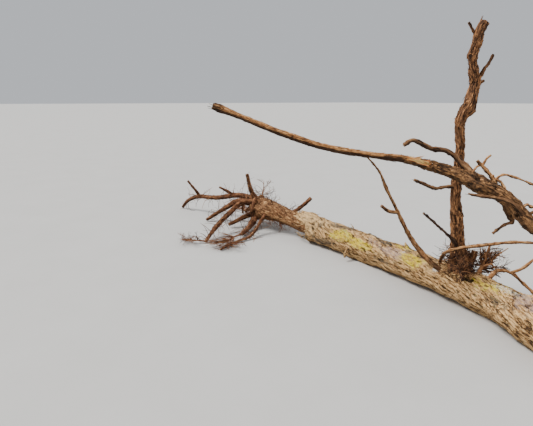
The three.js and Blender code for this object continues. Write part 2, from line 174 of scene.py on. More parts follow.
# %% Routes of the roots
ROOTS = {
    "root_up": [
        (26, -16, 84, 26), (4, -30, 122, 17), (-2, -38, 156, 14), (-5, -44, 188, 11.5),
    ],
    "root_face": [
        (30, -16, 92, 18), (40, -38, 103, 15), (52, -54, 80, 15), (48, -55, 57, 16),
        (40, -46, 31, 18), (36, -40, 12, 15),
    ],
    "root_left": [
        (28, -24, 80, 26), (-44, -58, 84, 20), (-76, -92, 58, 18), (-104, -124, 31, 15),
        (-120, -160, 8, 11),
    ],
    "root_front": [
        (34, -26, 86, 26), (18, -82, 92, 19), (38, -146, 66, 17.5), (70, -216, 34, 14),
        (116, -276, 7, 10),
    ],
    "root_long": [
        (26, -10, 88, 26), (-82, -36, 96, 20), (-178, -82, 74, 18), (-272, -126, 66, 16.5),
        (-330, -146, 40, 14), (-364, -158, 8, 11),
    ],
    "root_down": [
        (46, -24, 58, 30), (62, -62, 30, 22), (90, -100, 16, 18), (126, -146, 12, 13),
    ],
    "root_short": [
        (32, -28, 54, 22), (16, -84, 32, 15), (6, -130, 14, 10.5),
    ],
    "root_thin": [
        (100, -24, 62, 13), (122, -56, 56, 10.5), (134, -88, 30, 10), (158, -128, 12, 9.5),
        (168, -170, 7, 8.5), (178, -208, 6, 7.5), (194, -242, 6, 6.5), (210, -271, 5, 5),
    ],
    "root_back": [
        (30, 2, 74, 26), (-32, 56, 72, 20), (-72, 98, 50, 17), (-108, 132, 28, 14),
        (-132, 166, 7, 10),
    ],
    "root_back_low": [(44, 6, 54, 28), (62, 58, 42, 20), (70, 104, 20, 15), (92, 152, 6, 9)],
    "root_tail": [
        (26, -14, 56, 24), (-66, 4, 40, 18), (-112, 14, 20, 14), (-158, 34, 7, 10),
    ],
}
print("main roots:", len(ROOTS))

# %% Routes of the forks
# What branches off a limb and is one piece with it: stubs, spurs and side roots.
FORKS = {
    "root_long": [
        [(-262, -120, 68, 12), (-268, -140, 98, 10), (-276, -166, 136, 9)],
        [(-104, -46, 94, 11), (-118, -72, 111, 9.5), (-134, -96, 126, 8.5)],
    ],
    "root_front": [[(18, -74, 90, 11), (19, -80, 74, 9), (20, -80, 52, 7)]],
    "root_back": [[(-60, 86, 56, 11), (-90, 86, 64, 9.5), (-116, 92, 66, 8)]],
    "shoot_tall": [[(703, -58, 202, 8), (698, -84, 208, 8), (695, -106, 223, 7.5)]],
    "shoot_low": [[(903, 83, 89, 6), (917, 105, 100, 6.2), (932, 128, 127, 5)]],
    "side_shoot_upper": [
        [(881, -44, 332, 4.8), (883, -34, 345, 3.8), (886, -25, 352, 3.2)],
        [(880, -45, 334, 4.4), (876, -52, 330, 3.6), (873, -61, 320, 3)],
    ],
    "long_arm_foot": [[(960, -14, 242, 7), (963, -5, 249, 5.4), (969, 11, 254, 4.6)]],
    "upright_arm": [
        [
            (799, 24, 500, 12), (803, 32, 501, 8.5), (807, 38, 504, 6.6), (809, 41, 512, 5.4),
            (812, 45.5, 522, 5), (815, 51, 532, 5.6), (818, 55, 545, 6.4),
        ],
        [(799, 24, 480, 8), (806, 36, 488, 6), (812, 45, 494, 4.2)],
        [(800, 26, 574, 7), (793, 16, 590, 4.8), (787, 7, 606, 4)],
        [(822, 44, 84, 20), (831, 52, 104, 13), (834, 56, 124, 11)],
        [(797, 22, 540, 14), (792, 13, 546, 9)],
    ],
    "trunk": [
        [(1072, 8, 66, 40), (1088, 34, 92, 28), (1100, 50, 112, 24)],
        [(1000, 6, 70, 34), (992, 24, 92, 24)],
        [(480, 20, 40, 14), (484, -6, 22, 8), (488, -12, 14, 6)],
    ],
}
print("forks:", sum(map(len, FORKS.values())))

# %% [markdown]
# ## Curves and frames
#
# A tube needs two things along its route: where its middle is, and which way is across. Both are
# worked out here for whole arrays at once. Blender's own curves could do it too, but a formula
# lets the bark's relief be a function of the place along and the angle round.

# %% Curves and frames
def metres(rows):
    """Rows of x, y, z, thickness in mm from the root crown, as x, y, z, radius in metres."""
    out = np.array(rows, float)
    out[..., :3] -= FOOTPRINT_MIDDLE
    out[..., 3] /= 2
    return out / 1000


def along_route(rows, t):
    """Points and radii at fractions t of a route, or of many routes at once.

    Between two rows a cubic runs through both, with half the difference of each row's
    neighbours as its slope there. The radius goes from one row's to the next along an S curve.
    """
    count = rows.shape[-2]
    place = np.clip(t, 0, 1) * (count - 1)
    leg = np.minimum(place.astype(int), count - 2)
    u = (place - leg)[:, None]
    before = 2 * rows[..., :1, :] - rows[..., 1:2, :]
    after = 2 * rows[..., -1:, :] - rows[..., -2:-1, :]
    padded = np.concatenate([before, rows, after], axis=-2)
    p0, p1, p2, p3 = (padded[..., leg + k, :] for k in range(4))
    slope_in, slope_out = (p2 - p0) / 2, (p3 - p1) / 2
    cubic = (2 * p1 - 2 * p2 + slope_in + slope_out) * u + (3 * p2 - 3 * p1 - 2 * slope_in - slope_out)
    points = (cubic * u + slope_in) * u + p1
    eased = u * u * (3 - 2 * u)
    radius = p1[..., 3:] + (p2[..., 3:] - p1[..., 3:]) * eased
    return points[..., :3], radius[..., 0]


def unit(vectors):
    """Each vector divided by its length."""
    return vectors / np.maximum(np.linalg.norm(vectors, axis=-1, keepdims=True), 1e-12)


def frames(points):
    """The unit tangent, across and side of each point of a route.

    Across is what is left of a fixed axis once its part along the tangent is taken off, and
    side is the tangent crossed with across. The axis is the one that the route follows least,
    where the upright one counts for a little less than it is followed.
    """
    tangent = unit(np.gradient(points, axis=-2))
    steepest = np.abs(tangent).max(axis=-2, keepdims=True)
    followed = steepest - np.array([0.0, 0.0, 0.2])
    axis = np.eye(3)[followed.argmin(axis=-1)]
    across = unit(axis - (axis * tangent).sum(-1, keepdims=True) * tangent)
    return tangent, across, np.cross(tangent, across)


arm_points = along_route(metres(LONG_ARM), np.linspace(0, 1, 200))[0]
arm_length = np.linalg.norm(np.diff(arm_points, axis=0), axis=-1).sum()
print("the long arm is %.2f m long along its curve" % arm_length)

# %% [markdown]
# ## Random but repeatable bark
#
# Bark is irregular, but its parts have sizes: plates half a centimetre wide and two or three
# long, cracks between them, and fibres finer than that. Lattice noise gives the irregular part,
# and Voronoi cells stretched along the limb give the plates. Both are worked out with numpy
# from whole arrays of points, so that they move real vertices and also feed the colours.

# %% Lattice noise
table = np.random.default_rng(5)
GRADIENTS = unit(table.normal(size=(256, 3)))
JITTER = table.random((256, 3))
LATTICE_PRIMES = (73856093, 19349663, 83492791)
SEED_PRIME = 7919
MIXING_PRIME = 1274126177
# The blended slopes reach about 0.6, and this brings them to about 1.
NOISE_HEIGHT = 1.7


def hashed(cell, seed):
    """A number for each lattice cell that looks random: its coordinates times primes, mixed."""
    h = sum(cell[..., k] * LATTICE_PRIMES[k] for k in range(3)) + seed * SEED_PRIME
    h = (h ^ (h >> 13)) * MIXING_PRIME
    return (h ^ (h >> 16)) & 0xFFFF


def noise(p, seed=0):
    """Lattice noise from about -1 to 1: random slopes at the corners of unit cells, blended."""
    cell = np.floor(p).astype(np.int64)
    inside = p - cell
    blend = inside**3 * (inside * (inside * 6 - 15) + 10)
    total = 0
    for corner in np.ndindex(2, 2, 2):
        slope = GRADIENTS[hashed(cell + corner, seed) & 255]
        weight = np.where(np.array(corner, bool), blend, 1 - blend).prod(-1)
        total = total + ((inside - corner) * slope).sum(-1) * weight
    return total * NOISE_HEIGHT


def rough(p, seed=0, octaves=3):
    """Noise, plus noise twice as fine and half as high, and so on."""
    return sum(noise(p * 2**k, seed + k) / 2**k for k in range(octaves))


sample = np.linspace(0, 300, 9000)[:, None] * np.array([1.0, 0.7, 0.4])
print("noise from %.2f to %.2f" % (noise(sample).min(), noise(sample).max()))

# %% Cells
# A squared distance that the nearest two middles are always under.
FAR_AWAY = 9.0


def cells(p, seed=0):
    """Voronoi cells: the distance to the second nearest middle less that to the nearest.

    It is 0 at a cell's edge and grows inwards. The cell's number, from 0 to 1, and the way
    from its middle come with it.
    """
    home = np.floor(p).astype(np.int64)
    nearest = np.full(p.shape[:-1], FAR_AWAY)
    second = nearest.copy()
    owner = np.zeros(p.shape[:-1], np.int64)
    offset = np.zeros(p.shape)
    for step in np.ndindex(3, 3, 3):
        cell = home + np.array(step) - 1
        number = hashed(cell, seed)
        away = p - cell - JITTER[number & 255]
        square = (away**2).sum(-1)
        closer = square < nearest
        second = np.where(closer, nearest, np.minimum(second, square))
        owner = np.where(closer, number, owner)
        offset = np.where(closer[..., None], away, offset)
        nearest = np.where(closer, square, nearest)
    return np.sqrt(second) - np.sqrt(nearest), (owner >> 6) / 1023, offset


print("a cell is up to %.2f deep from its edge" % cells(sample)[0].max())


# %% Two curves that shape everything
def steps(x, low, high):
    """0 below low, 1 above high, and an S curve between."""
    u = np.clip((x - low) / (high - low), 0, 1)
    return u * u * (3 - 2 * u)


def bump(x, middle, width):
    """A bell of height 1 at the middle."""
    return np.exp(-(((x - middle) / width) ** 2))


print("half way up a step: %.2f, at the rim of a bell: %.2f" % (steps(0.5, 0, 1), bump(1, 0, 1)))

# %% [markdown]
# ## A limb
#
# Each limb is one surface of two parameters: s, the length along it, and a, the angle round it.
# The point is the middle of the limb at s, plus the radius and the bark's relief outwards. The
# same function places the loose strips later, so they always lie on the bark.

# %% Kinds of bark
def bark_look(width, length, crack, step, fibre, lump, twist):
    """One kind of bark, in metres, and in radians a metre for the turn of its grain.

    width and length are those of its plates, crack is how deep its cracks are, and step, fibre
    and lump are how high its steps, fibres and lumps are.
    """
    return dict(width=width, length=length, crack=crack, step=step, fibre=fibre, lump=lump, twist=twist)


LOOKS = {
    "trunk": bark_look(0.0056, 0.032, 0.0016, 0.0014, 0.0006, 0.0008, -5.5),
    "rootstock": bark_look(0.0048, 0.017, 0.0014, 0.0015, 0.0005, 0.0026, -2.0),
    "arm": bark_look(0.0046, 0.020, 0.0014, 0.0016, 0.0005, 0.0010, 2.4),
    "young": bark_look(0.0034, 0.018, 0.0007, 0.0008, 0.0003, 0.0010, 1.6),
    "root": bark_look(0.0040, 0.018, 0.0008, 0.0010, 0.0003, 0.0012, 2.0),
}
# A second, finer layer of plates has this share of the first one's width, length and steps.
FINE_WIDTH, FINE_LENGTH, FINE_STEP = 0.42, 0.5, 0.45
# How much a plate is bent and frayed, in its own sizes, and how far it is tilted, in its steps.
PLATE_BEND, PLATE_FRAY, PLATE_TILT = 0.6, 0.45, 0.8
# The sizes in metres of the places where cracks open, of the fibres and of the lumps.
OPENING_SIZE = np.array([0.011, 0.011, 0.018])
FIBRE_SIZE = np.array([0.0026, 0.0026, 0.014])
LUMP_SIZE = np.array([0.035, 0.035, 0.06])
print("kinds of bark:", ", ".join(LOOKS))


# %% Plates, cracks and fibres
def plates(grain, width, length, seed):
    """Plates of bark: cells stretched along the grain, bent, and frayed at their ends.

    Each plate is also tilted its own way, so that it rises towards one end or side and drops
    at its edge, as a strip does that has come loose there.
    """
    place = grain / np.array([width, width, length])
    bend = np.stack([noise(place * 0.6, seed + 1), noise(place * 0.6, seed + 2)], -1)
    place[..., :2] += PLATE_BEND * bend
    place[..., 2] += PLATE_FRAY * noise(grain / width * np.array([1.5, 1.5, 0.4]), seed + 3)
    inward, number, offset = cells(place, seed)
    turn = 40 * number
    sideways = offset[..., 0] * np.sin(turn) + offset[..., 1] * np.cos(turn)
    return inward, number, offset[..., 2] * np.cos(3 * turn) + 0.5 * sideways


def bark(grain, look, seed):
    """The relief in metres over a smooth limb, how deep in a crack each point is, and its plate.

    Two sizes of plates lie over each other. A crack is near a plate's edge, wider and deeper
    where the bark is open. Then come fibres, which are ridges of stretched noise, and last the
    lumps of the wood below.
    """
    width, length = look["width"], look["length"]
    inward, plate, tilt = plates(grain, width, length, seed)
    fine_inward, strip, fine_tilt = plates(grain, width * FINE_WIDTH, length * FINE_LENGTH, seed + 20)
    open_here = steps(noise(grain / OPENING_SIZE, seed + 9), -0.1, 0.7)
    crack = (1 - steps(inward, 0.03, 0.14 + 0.34 * open_here)) * (0.3 + 0.7 * open_here)
    crack = np.maximum(crack, (0.3 + 0.4 * open_here) * (1 - steps(fine_inward, 0.02, 0.2)))
    fibres = 1 - 2 * np.abs(noise(grain / FIBRE_SIZE, seed + 5))
    lumps = rough(grain / LUMP_SIZE, seed + 3, 2)
    height = look["step"] * (plate - 0.5 + PLATE_TILT * tilt)
    height = height + FINE_STEP * look["step"] * (strip - 0.5 + PLATE_TILT * fine_tilt)
    height = height - look["crack"] * crack + look["fibre"] * fibres + look["lump"] * lumps
    return height, crack, 0.4 * plate + 0.6 * strip


patch = bark(sample / 100, LOOKS["trunk"], 21)[0]
print("along a line the trunk's bark goes up and down by %.1f mm" % (1000 * np.ptp(patch)))

# %% [markdown]
# ## Knots
#
# A knot is what is left of a branch: a swollen collar, often with a hollow where the branch has
# rotted away. It could be a separate lump, but a bell added to the relief keeps the bark whole.

# %% Knots
# A hollow's share of its collar's radius, and how deep in mm it has to be to be painted fully
# dark, as painted shade in the hollow.
PIT_SHARE, DEEP_PIT = 0.45, 2


def knots(placed, s, a, girth):
    """The height and hollowness of knots, each a wide bell less a narrow one in its middle.

    placed lists the length along in metres, the angle in degrees, and in millimetres the
    radius, the height of the collar and the depth of its hollow.
    """
    height, hollow = np.zeros(np.broadcast(s, a).shape), 0.0
    for along, angle, radius, rise, depth in placed:
        turn = a - math.radians(angle)
        sideways = np.arctan2(np.sin(turn), np.cos(turn)) * girth
        far = np.hypot(s - along, sideways) * 1000 / radius
        pit = np.exp(-((far / PIT_SHARE) ** 4))
        height = height + (rise * np.exp(-(far**2)) - depth * pit) / 1000
        hollow = np.maximum(hollow, pit * min(1, depth / DEEP_PIT))
    return height, hollow


knot_height = knots([(0, 0, 8, 3, 4)], np.array([0.0, 0.006]), np.array([0.0, 0.0]), 0.04)[0]
print("the middle of a knot is at %.1f mm, its collar at %.1f mm" % tuple(1000 * knot_height))

# %% [markdown]
# Now the surface itself. The ends could be left open, but every piece has to be closed, so a
# limb also has a cap at each end: rings that shrink and move out as on a dome, or that stay
# nearly flat where the limb was cut.

# %% Limbs
# The places where a route is worked out, and how much of the relief is gone from bare wood.
SAMPLES, TORN_SMOOTHING = 900, 0.7
# Each cap has the power of the cosine, how far it stands out in radii, and its rings.
CAPS = {
    "dome": (1.0, 0.8, 8), "blunt": (0.7, 0.35, 8), "cut": (0.35, 0.1, 8), "hollow": (0.6, -0.25, 8),
    "flush": (1.0, 0.0, 1),
}


class Limb:
    """A limb with bark: centre(s) + (radius(s) + relief(s, a)) times the way outwards at a."""

    def __init__(self, rows, look, seed, shape=None, placed=(), torn=None):
        self.look, self.seed, self.shape = LOOKS[look], seed, shape
        self.placed, self.torn = placed, torn
        self.t = np.linspace(0, 1, SAMPLES)
        self.centre, self.radius = along_route(metres(rows), self.t)
        self.frame = frames(self.centre)
        lengths = np.linalg.norm(np.diff(self.centre, axis=0), axis=-1)
        self.s = np.concatenate([[0], np.cumsum(lengths)])
        self.length = self.s[-1]
        self.girth = self.radius.mean()

    def at(self, values, s):
        """Values known along the limb, read off at lengths s."""
        if values.ndim == 1:
            return np.interp(s, self.s, values)
        return np.stack([np.interp(s, self.s, column) for column in values.T], -1)

    def relief(self, s, a):
        """The bark's relief at lengths s and angles a, and the values that colour it."""
        s, a = np.broadcast_arrays(s, a)
        turned = a + self.look["twist"] * s
        grain = np.stack([np.cos(turned) * self.girth, np.sin(turned) * self.girth, s], -1)
        height, crack, strip = bark(grain, self.look, self.seed)
        if self.shape:
            height = height + self.shape(self.at(self.t, s), a)
        collar, hollow = knots(self.placed, s, a, self.girth)
        across, side = self.frame[1:]
        # How much the surface faces down, from which the finish paints shade on the underside.
        rise = np.cos(a) * self.at(across[:, 2], s) + np.sin(a) * self.at(side[:, 2], s)
        values = dict(crack=np.maximum(crack, hollow), strip=strip, grain=grain, under=-rise)
        height = height + collar
        if self.torn:
            values["wound"], depth = self.torn(s, a)
            height = height * (1 - TORN_SMOOTHING * values["wound"]) - depth
        return height, values

    def point(self, s, a, height, shrink=1.0, ahead=0.0):
        """Points at a height over the smooth limb, drawn in or pushed ahead where asked."""
        tangent, across, side = (self.at(values, s) for values in self.frame)
        out = np.cos(a)[..., None] * across + np.sin(a)[..., None] * side
        radius = (self.at(self.radius, s) + height) * shrink
        place = self.at(self.centre, s) + radius[..., None] * out
        place = place + np.asarray(ahead)[..., None] * tangent
        place[..., 2] = np.maximum(place[..., 2], 0.0)
        return place

    def body(self, rings, sides, start="dome", end="dome", span=None, rag=None):
        """The limb, or a span of it, as one closed body: rings of points and a cap at each end.

        At a cap the rings shrink by the cosine of an angle that goes from 0 to 90 degrees and
        move out by its sine. Small powers of both make the end flat with a rounded edge.
        """
        low, high = (0.0, self.length) if span is None else span
        profiles = []
        for kind, way, where in ((start, -1, low), (end, 1, high)):
            power, depth, count = CAPS[kind]
            turn = np.linspace(0, math.pi / 2, count + 2)[1:-1]
            shrink = np.cos(turn) ** power
            ahead = way * depth * self.at(self.radius, where) * np.sin(turn)
            profiles.append((np.full(count, where), shrink, ahead))
        (s0, k0, d0), (s1, k1, d1) = profiles
        middle = np.linspace(low, high, rings)
        s = np.concatenate([s0[::-1], middle, s1])[:, None]
        shrink = np.concatenate([k0[::-1], np.ones(rings), k1])[:, None]
        ahead = np.concatenate([d0[::-1], np.zeros(rings), d1])[:, None]
        a = np.linspace(-math.pi, math.pi, sides, endpoint=False)[None, :]
        s, a, shrink, ahead = np.broadcast_arrays(s, a, shrink, ahead)
        if rag:
            ahead = ahead + rag(s, a)
        height, values = self.relief(s, a)
        points = self.point(s, a, height, shrink, ahead)
        values.update(inner=1 - shrink, along=s, angle=a)
        return closed_body(points[None], {name: value[None] for name, value in values.items()})


print("ways to end a limb:", ", ".join(CAPS))

# %% [markdown]
# ## Loose strips of bark
#
# Vine bark comes off in strips that hang on by one end. They break up the outline of every limb.
# Each strip is a thin closed ribbon of its own, laid on the limb's surface function.

# %% Loose strips
FLAKE_RINGS = 7
FLAKE_THICKNESS = 0.0007
# How far a strip strays from the grain, how frayed it is, and how dark it is at its root.
FLAKE_DRIFT, FLAKE_FRAY, FLAKE_SHADOW = 0.4, 0.5, 0.25
# A strip's section has six points: how far across each is, in half widths, and how far up.
SECTION_ACROSS = np.array([-0.5, 0.5, 1, 0.5, -0.5, -1])
SECTION_UP = np.array([1, 1, 0.5, 0, 0, 0.5])


def flakes(limb, rng, s, a, length, width, lift):
    """Strips rooted at lengths s and angles a, with a negative length where they point back.

    u runs from 0 at the root to 1 at the free end. A strip is width * (1 - u^4) wide with a
    frayed edge, follows the grain, and stands lift * u^2 off the bark.
    """
    u = np.linspace(0, 1, FLAKE_RINGS)[None, :, None]
    s, a, length, width, lift = (np.asarray(v)[:, None, None] for v in (s, a, length, width, lift))
    across = SECTION_ACROSS * np.sign(length)
    drift = rng.uniform(-FLAKE_DRIFT, FLAKE_DRIFT, s.shape)
    fray = 1 + FLAKE_FRAY * rng.uniform(-1, 1, (len(s), FLAKE_RINGS, 1)) * u
    along = s + length * u
    angle = a - limb.look["twist"] * length * u + drift * u**2
    angle = angle + across * width / 2 * (1 - u**4) * fray / limb.girth
    inside = np.broadcast_to(np.clip(along, 0, limb.length), angle.shape)
    height, values = limb.relief(inside, angle)
    raised = lift * u**2 + FLAKE_THICKNESS * (SECTION_UP * (1.2 - u) - 0.8 * (1 - u))
    points = limb.point(inside, angle, height + raised, ahead=along - inside)
    values["strip"] = np.broadcast_to(rng.uniform(0, 1, s.shape), angle.shape)
    values["crack"] = np.broadcast_to(FLAKE_SHADOW * (1 - u), angle.shape)
    values.update(along=inside, angle=angle)
    return closed_body(points, values)


def scattered(limb, rng, count, length, width, lift, span=(0, 1)):
    """Loose strips all over a limb, of random sizes up to the given ones."""
    s = limb.length * rng.uniform(*span, count)
    a = rng.uniform(-math.pi, math.pi, count)
    way = rng.choice([-1, 1], count)
    size = rng.uniform(0.35, 1, count)
    return flakes(limb, rng, s, a, way * length * size, width * rng.uniform(0.4, 1, count), lift * size)


print("points of a strip:", FLAKE_RINGS * len(SECTION_ACROSS))

# %% [markdown]
# ## Closed bodies
#
# Everything here is a tube of some kind, so one function closes them all: the limbs, the loose
# strips and the twigs, thousands of them in one array.

# %% Closed bodies
def closed_body(rings, values=None):
    """Bodies from rings of points, shape (bodies, rings, points, 3), closed at both ends.

    Neighbouring rings are joined by quads, and each end ring by triangles to its own middle.
    """
    bodies, count, sides = rings.shape[:3]
    index = np.arange(bodies * count * sides).reshape(bodies, count, sides)
    after = np.roll(index, -1, axis=2)
    quads = np.stack([index[:, :-1], after[:, :-1], after[:, 1:], index[:, 1:]], -1).reshape(-1, 4)
    first_pole = index.size + np.arange(bodies)[:, None]
    last_pole = first_pole + bodies
    low = np.stack([after[:, 0], index[:, 0], np.broadcast_to(first_pole, index[:, 0].shape)], -1)
    high = np.stack([index[:, -1], after[:, -1], np.broadcast_to(last_pole, index[:, -1].shape)], -1)
    triangles = np.concatenate([low.reshape(-1, 3), high.reshape(-1, 3)])
    ends = [rings[:, 0].mean(1), rings[:, -1].mean(1)]
    points = np.concatenate([rings.reshape(-1, 3), *ends])
    kept = {}
    for name, value in (values or {}).items():
        wide = value.reshape((-1,) + value.shape[3:])
        poles = [value[:, 0].mean(1), value[:, -1].mean(1)]
        kept[name] = np.concatenate([wide, *poles])
    return dict(points=points, quads=quads, triangles=triangles, values=kept)


tube = closed_body(np.zeros((1, 2, 4, 3)))
print("two rings of four points: %d quads, %d triangles" % (len(tube["quads"]), len(tube["triangles"])))

# %% [markdown]
# ## From arrays to a Blender object
#
# Blender takes a mesh as plain arrays of vertices, loops and faces. foreach_set copies each in
# one call, which is far quicker than adding vertices one at a time. What the colours need, such
# as the depth in a crack, goes in as attributes of the mesh.

# %% Pieces
SLOT_OF = {entry["node"]: entry["material_slot"] for entry in frame["record"]["subparts"]}
made = []


def join(bodies):
    """Several bodies as one set of arrays, with 0 for a value that a body doesn't have."""
    shift = np.cumsum([0] + [len(body["points"]) for body in bodies[:-1]])
    shapes = {name: value.shape[1:] for body in bodies for name, value in body["values"].items()}
    values = {}
    for name, shape in shapes.items():
        parts = [body["values"].get(name, np.zeros((len(body["points"]), *shape))) for body in bodies]
        values[name] = np.concatenate(parts)
    return dict(
        points=np.concatenate([body["points"] for body in bodies]),
        quads=np.concatenate([body["quads"] + n for body, n in zip(bodies, shift)]),
        triangles=np.concatenate([body["triangles"] + n for body, n in zip(bodies, shift)]),
        values=values,
    )


def piece(name, bodies, finishes, node, dealt_out=None):
    """A Blender object from bodies, with its finishes, in place of a node.

    It rides on the vine's one body. dealt_out has the number of each vertex's finish, where a
    piece has several.
    """
    arrays, slot = join(bodies), SLOT_OF[node]
    quads, triangles = arrays["quads"], arrays["triangles"]
    mesh = bpy.data.meshes.new(name)
    mesh.vertices.add(len(arrays["points"]))
    mesh.vertices.foreach_set("co", arrays["points"].ravel())
    corners = np.concatenate([quads.ravel(), triangles.ravel()])
    mesh.loops.add(len(corners))
    mesh.loops.foreach_set("vertex_index", corners)
    sizes = np.concatenate([np.full(len(quads), 4), np.full(len(triangles), 3)])
    mesh.polygons.add(len(sizes))
    mesh.polygons.foreach_set("loop_start", np.cumsum(sizes) - sizes)
    mesh.polygons.foreach_set("loop_total", sizes)
    mesh.polygons.foreach_set("use_smooth", np.ones(len(sizes), bool))
    for finish in finishes:
        mesh.materials.append(finish)
    if dealt_out is not None:
        mesh.polygons.foreach_set("material_index", dealt_out[corners[np.cumsum(sizes) - sizes]])
    for key, value in arrays["values"].items():
        kind, field = ("FLOAT_VECTOR", "vector") if value.ndim == 2 else ("FLOAT", "value")
        attribute = mesh.attributes.new(key, kind, "POINT")
        attribute.data.foreach_set(field, value.astype(np.float32).ravel())
    mesh.update()
    mesh.validate()
    obj = bpy.data.objects.new(name, mesh)
    bpy.context.scene.collection.objects.link(obj)
    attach(obj, "root")
    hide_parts(node)
    made.append(2 * len(quads) + len(triangles))
    print("%-24s %7d triangles" % (name, made[-1]))


# %% [markdown]
# ## Writing shader maths as arithmetic
#
# A material is a graph of nodes. Placed by hand it is hard to read, so a small class wraps a
# socket and lets Python's own signs add the Math nodes: 1 - mask is a Subtract node.

# %% Numbers of a shader
class Value:
    """A socket's number that can be added, subtracted and multiplied like any other."""

    def __init__(self, finish, socket):
        self.finish, self.socket = finish, socket

    def joined(self, operation, first, second):
        """A Math node of two values."""
        return self.finish.node("ShaderNodeMath", dict(operation=operation), {0: first, 1: second})

    def __add__(self, other):
        return self.joined("ADD", self, other)

    def __radd__(self, other):
        return self.joined("ADD", other, self)

    def __sub__(self, other):
        return self.joined("SUBTRACT", self, other)

    def __rsub__(self, other):
        return self.joined("SUBTRACT", other, self)

    def __mul__(self, other):
        return self.joined("MULTIPLY", self, other)

    def __rmul__(self, other):
        return self.joined("MULTIPLY", other, self)


# %% A finish
# How little dry bark shines, and the height in metres of the relief that is only shaded.
DRY_SPECULAR, BUMP_HEIGHT = 0.22, 0.0008


class Finish:
    """A material that is built node by node."""

    def __init__(self, name):
        self.material = bpy.data.materials.new(name)
        self.material.use_nodes = True
        self.tree = self.material.node_tree
        self.tree.nodes.clear()

    def node(self, kind, settings=None, sockets=None, out=0):
        """A node of a kind, with its settings, then the values or links of its sockets."""
        node = self.tree.nodes.new(kind)
        for key, setting in (settings or {}).items():
            setattr(node, key, setting)
        for key, value in (sockets or {}).items():
            if isinstance(value, Value):
                self.tree.links.new(value.socket, node.inputs[key])
            else:
                node.inputs[key].default_value = value
        return Value(self, node.outputs[out]) if node.outputs else None

    def attribute(self, name, out="Fac"):
        """An attribute of the mesh."""
        return self.node("ShaderNodeAttribute", dict(attribute_name=name), out=out)

    def stretched(self, vector, scale):
        """A vector multiplied by three numbers."""
        return self.node("ShaderNodeVectorMath", dict(operation="MULTIPLY"), {0: vector, 1: scale})

    def noise(self, vector, scale, detail=4.0, roughness=0.6):
        """Noise from 0 to 1 at a vector."""
        sockets = {"Vector": vector, "Scale": scale, "Detail": detail, "Roughness": roughness}
        return self.node("ShaderNodeTexNoise", None, sockets)

    def pattern(self, grain, waves, detail=4.0, roughness=0.6):
        """Noise with so many waves a metre: twice across the grain, then along it."""
        return self.noise(self.stretched(grain, waves), 1.0, detail, roughness)

    def between(self, value, low, high):
        """0 where the value is under low, 1 over high, and an S curve between."""
        sockets = {"Value": value, "From Min": low, "From Max": high}
        return self.node("ShaderNodeMapRange", dict(interpolation_type="SMOOTHSTEP"), sockets)

    def mix(self, factor, first, second):
        """Two colours mixed by a factor."""
        sockets = {"Factor": factor, 6: first, 7: second}
        return self.node("ShaderNodeMix", dict(data_type="RGBA"), sockets, out=2)

    def finished(self, colour, roughness, height=None):
        """The surface shader: a colour, a roughness, and a height for the bump."""
        sockets = {"Base Color": colour, "Roughness": roughness, "Specular IOR Level": DRY_SPECULAR}
        if height is not None:
            bumped = {"Height": height, "Distance": BUMP_HEIGHT, "Strength": 1.0}
            sockets["Normal"] = self.node("ShaderNodeBump", None, bumped)
        shader = self.node("ShaderNodeBsdfPrincipled", None, sockets)
        self.node("ShaderNodeOutputMaterial", None, {"Surface": shader})
        return self.material


# %% Colours
def tone(red, green, blue):
    """A colour given as seen on a screen, 0 to 255, as the linear light that a shader mixes."""
    seen = np.array([red, green, blue]) / 255
    linear = np.where(seen <= 0.04045, seen / 12.92, ((seen + 0.055) / 1.055) ** 2.4)
    return (*linear.tolist(), 1.0)


print("a middling grey on a screen is %.2f of the light of white" % tone(128, 128, 128)[0])

# %% [markdown]
# ## The bark's finish
#
# Old vine bark is layers of dry fibre: weathered grey-tan outside, red-brown where a strip has
# come off, dark in the cracks, which are painted nearly black, with painted shade over their own
# dark. A picture could be wrapped round the limb, but the colour has to follow the relief, so it
# is mixed from the same cracks and strips that shaped it.

# %% Weathering and torn wood
def weathered(f, colour, grain, fibres):
    """Grey and lilac weathering, yellow-green lichen and white spots where the mesh has them."""
    small = f.pattern(grain, (330, 330, 110), 5.0, 0.7)
    blots = f.pattern(grain, (120, 120, 60))
    spots = f.pattern(grain, (640, 640, 500), 3.0, 0.5)
    ragged = (small - 0.5) * 1.6 + (blots - 0.5) * 1.6 + (fibres - 0.5) * 0.8
    raised = f.between(small * 0.7 + fibres * 0.3, 0.40, 0.53)
    colour = f.mix(f.between(f.attribute("cream") + ragged, 0.3, 0.9) * 0.5, colour, tone(244, 206, 150))
    lilac = f.between(f.attribute("lilac") + ragged, 0.35, 0.8) * raised
    colour = f.mix(lilac * 0.65, colour, tone(184, 158, 150))
    crust = f.mix(f.between(small, 0.42, 0.54), tone(158, 124, 34), tone(226, 198, 56))
    crust = f.mix(f.between(blots, 0.52, 0.70), crust, tone(250, 234, 120))
    green = f.between(f.attribute("green") + ragged, 0.25, 0.75) * (raised * 0.75 + 0.2)
    colour = f.mix(green, colour, crust)
    ash = f.mix(f.between(spots, 0.4, 0.6), tone(44, 39, 34), tone(94, 86, 75))
    grey = f.between(f.attribute("grey") + ragged * 1.5, 0.35, 0.7) * (1.0 - raised * 0.3)
    colour = f.mix(grey, colour, ash)
    white = f.between(f.attribute("white") * 0.5 + spots * 0.8, 0.72, 0.8)
    return f.mix(white * 0.85, colour, tone(226, 222, 210))


def torn_wood(f, grain, wound):
    """Bare wood that was torn open not long ago: cream and pink, in long splinters."""
    streaks = f.pattern(grain, (900, 900, 60))
    pale = f.between(streaks + (wound - 0.8) * 0.3, 0.39, 0.49)
    return f.mix(pale, tone(232, 144, 88), tone(255, 220, 146))


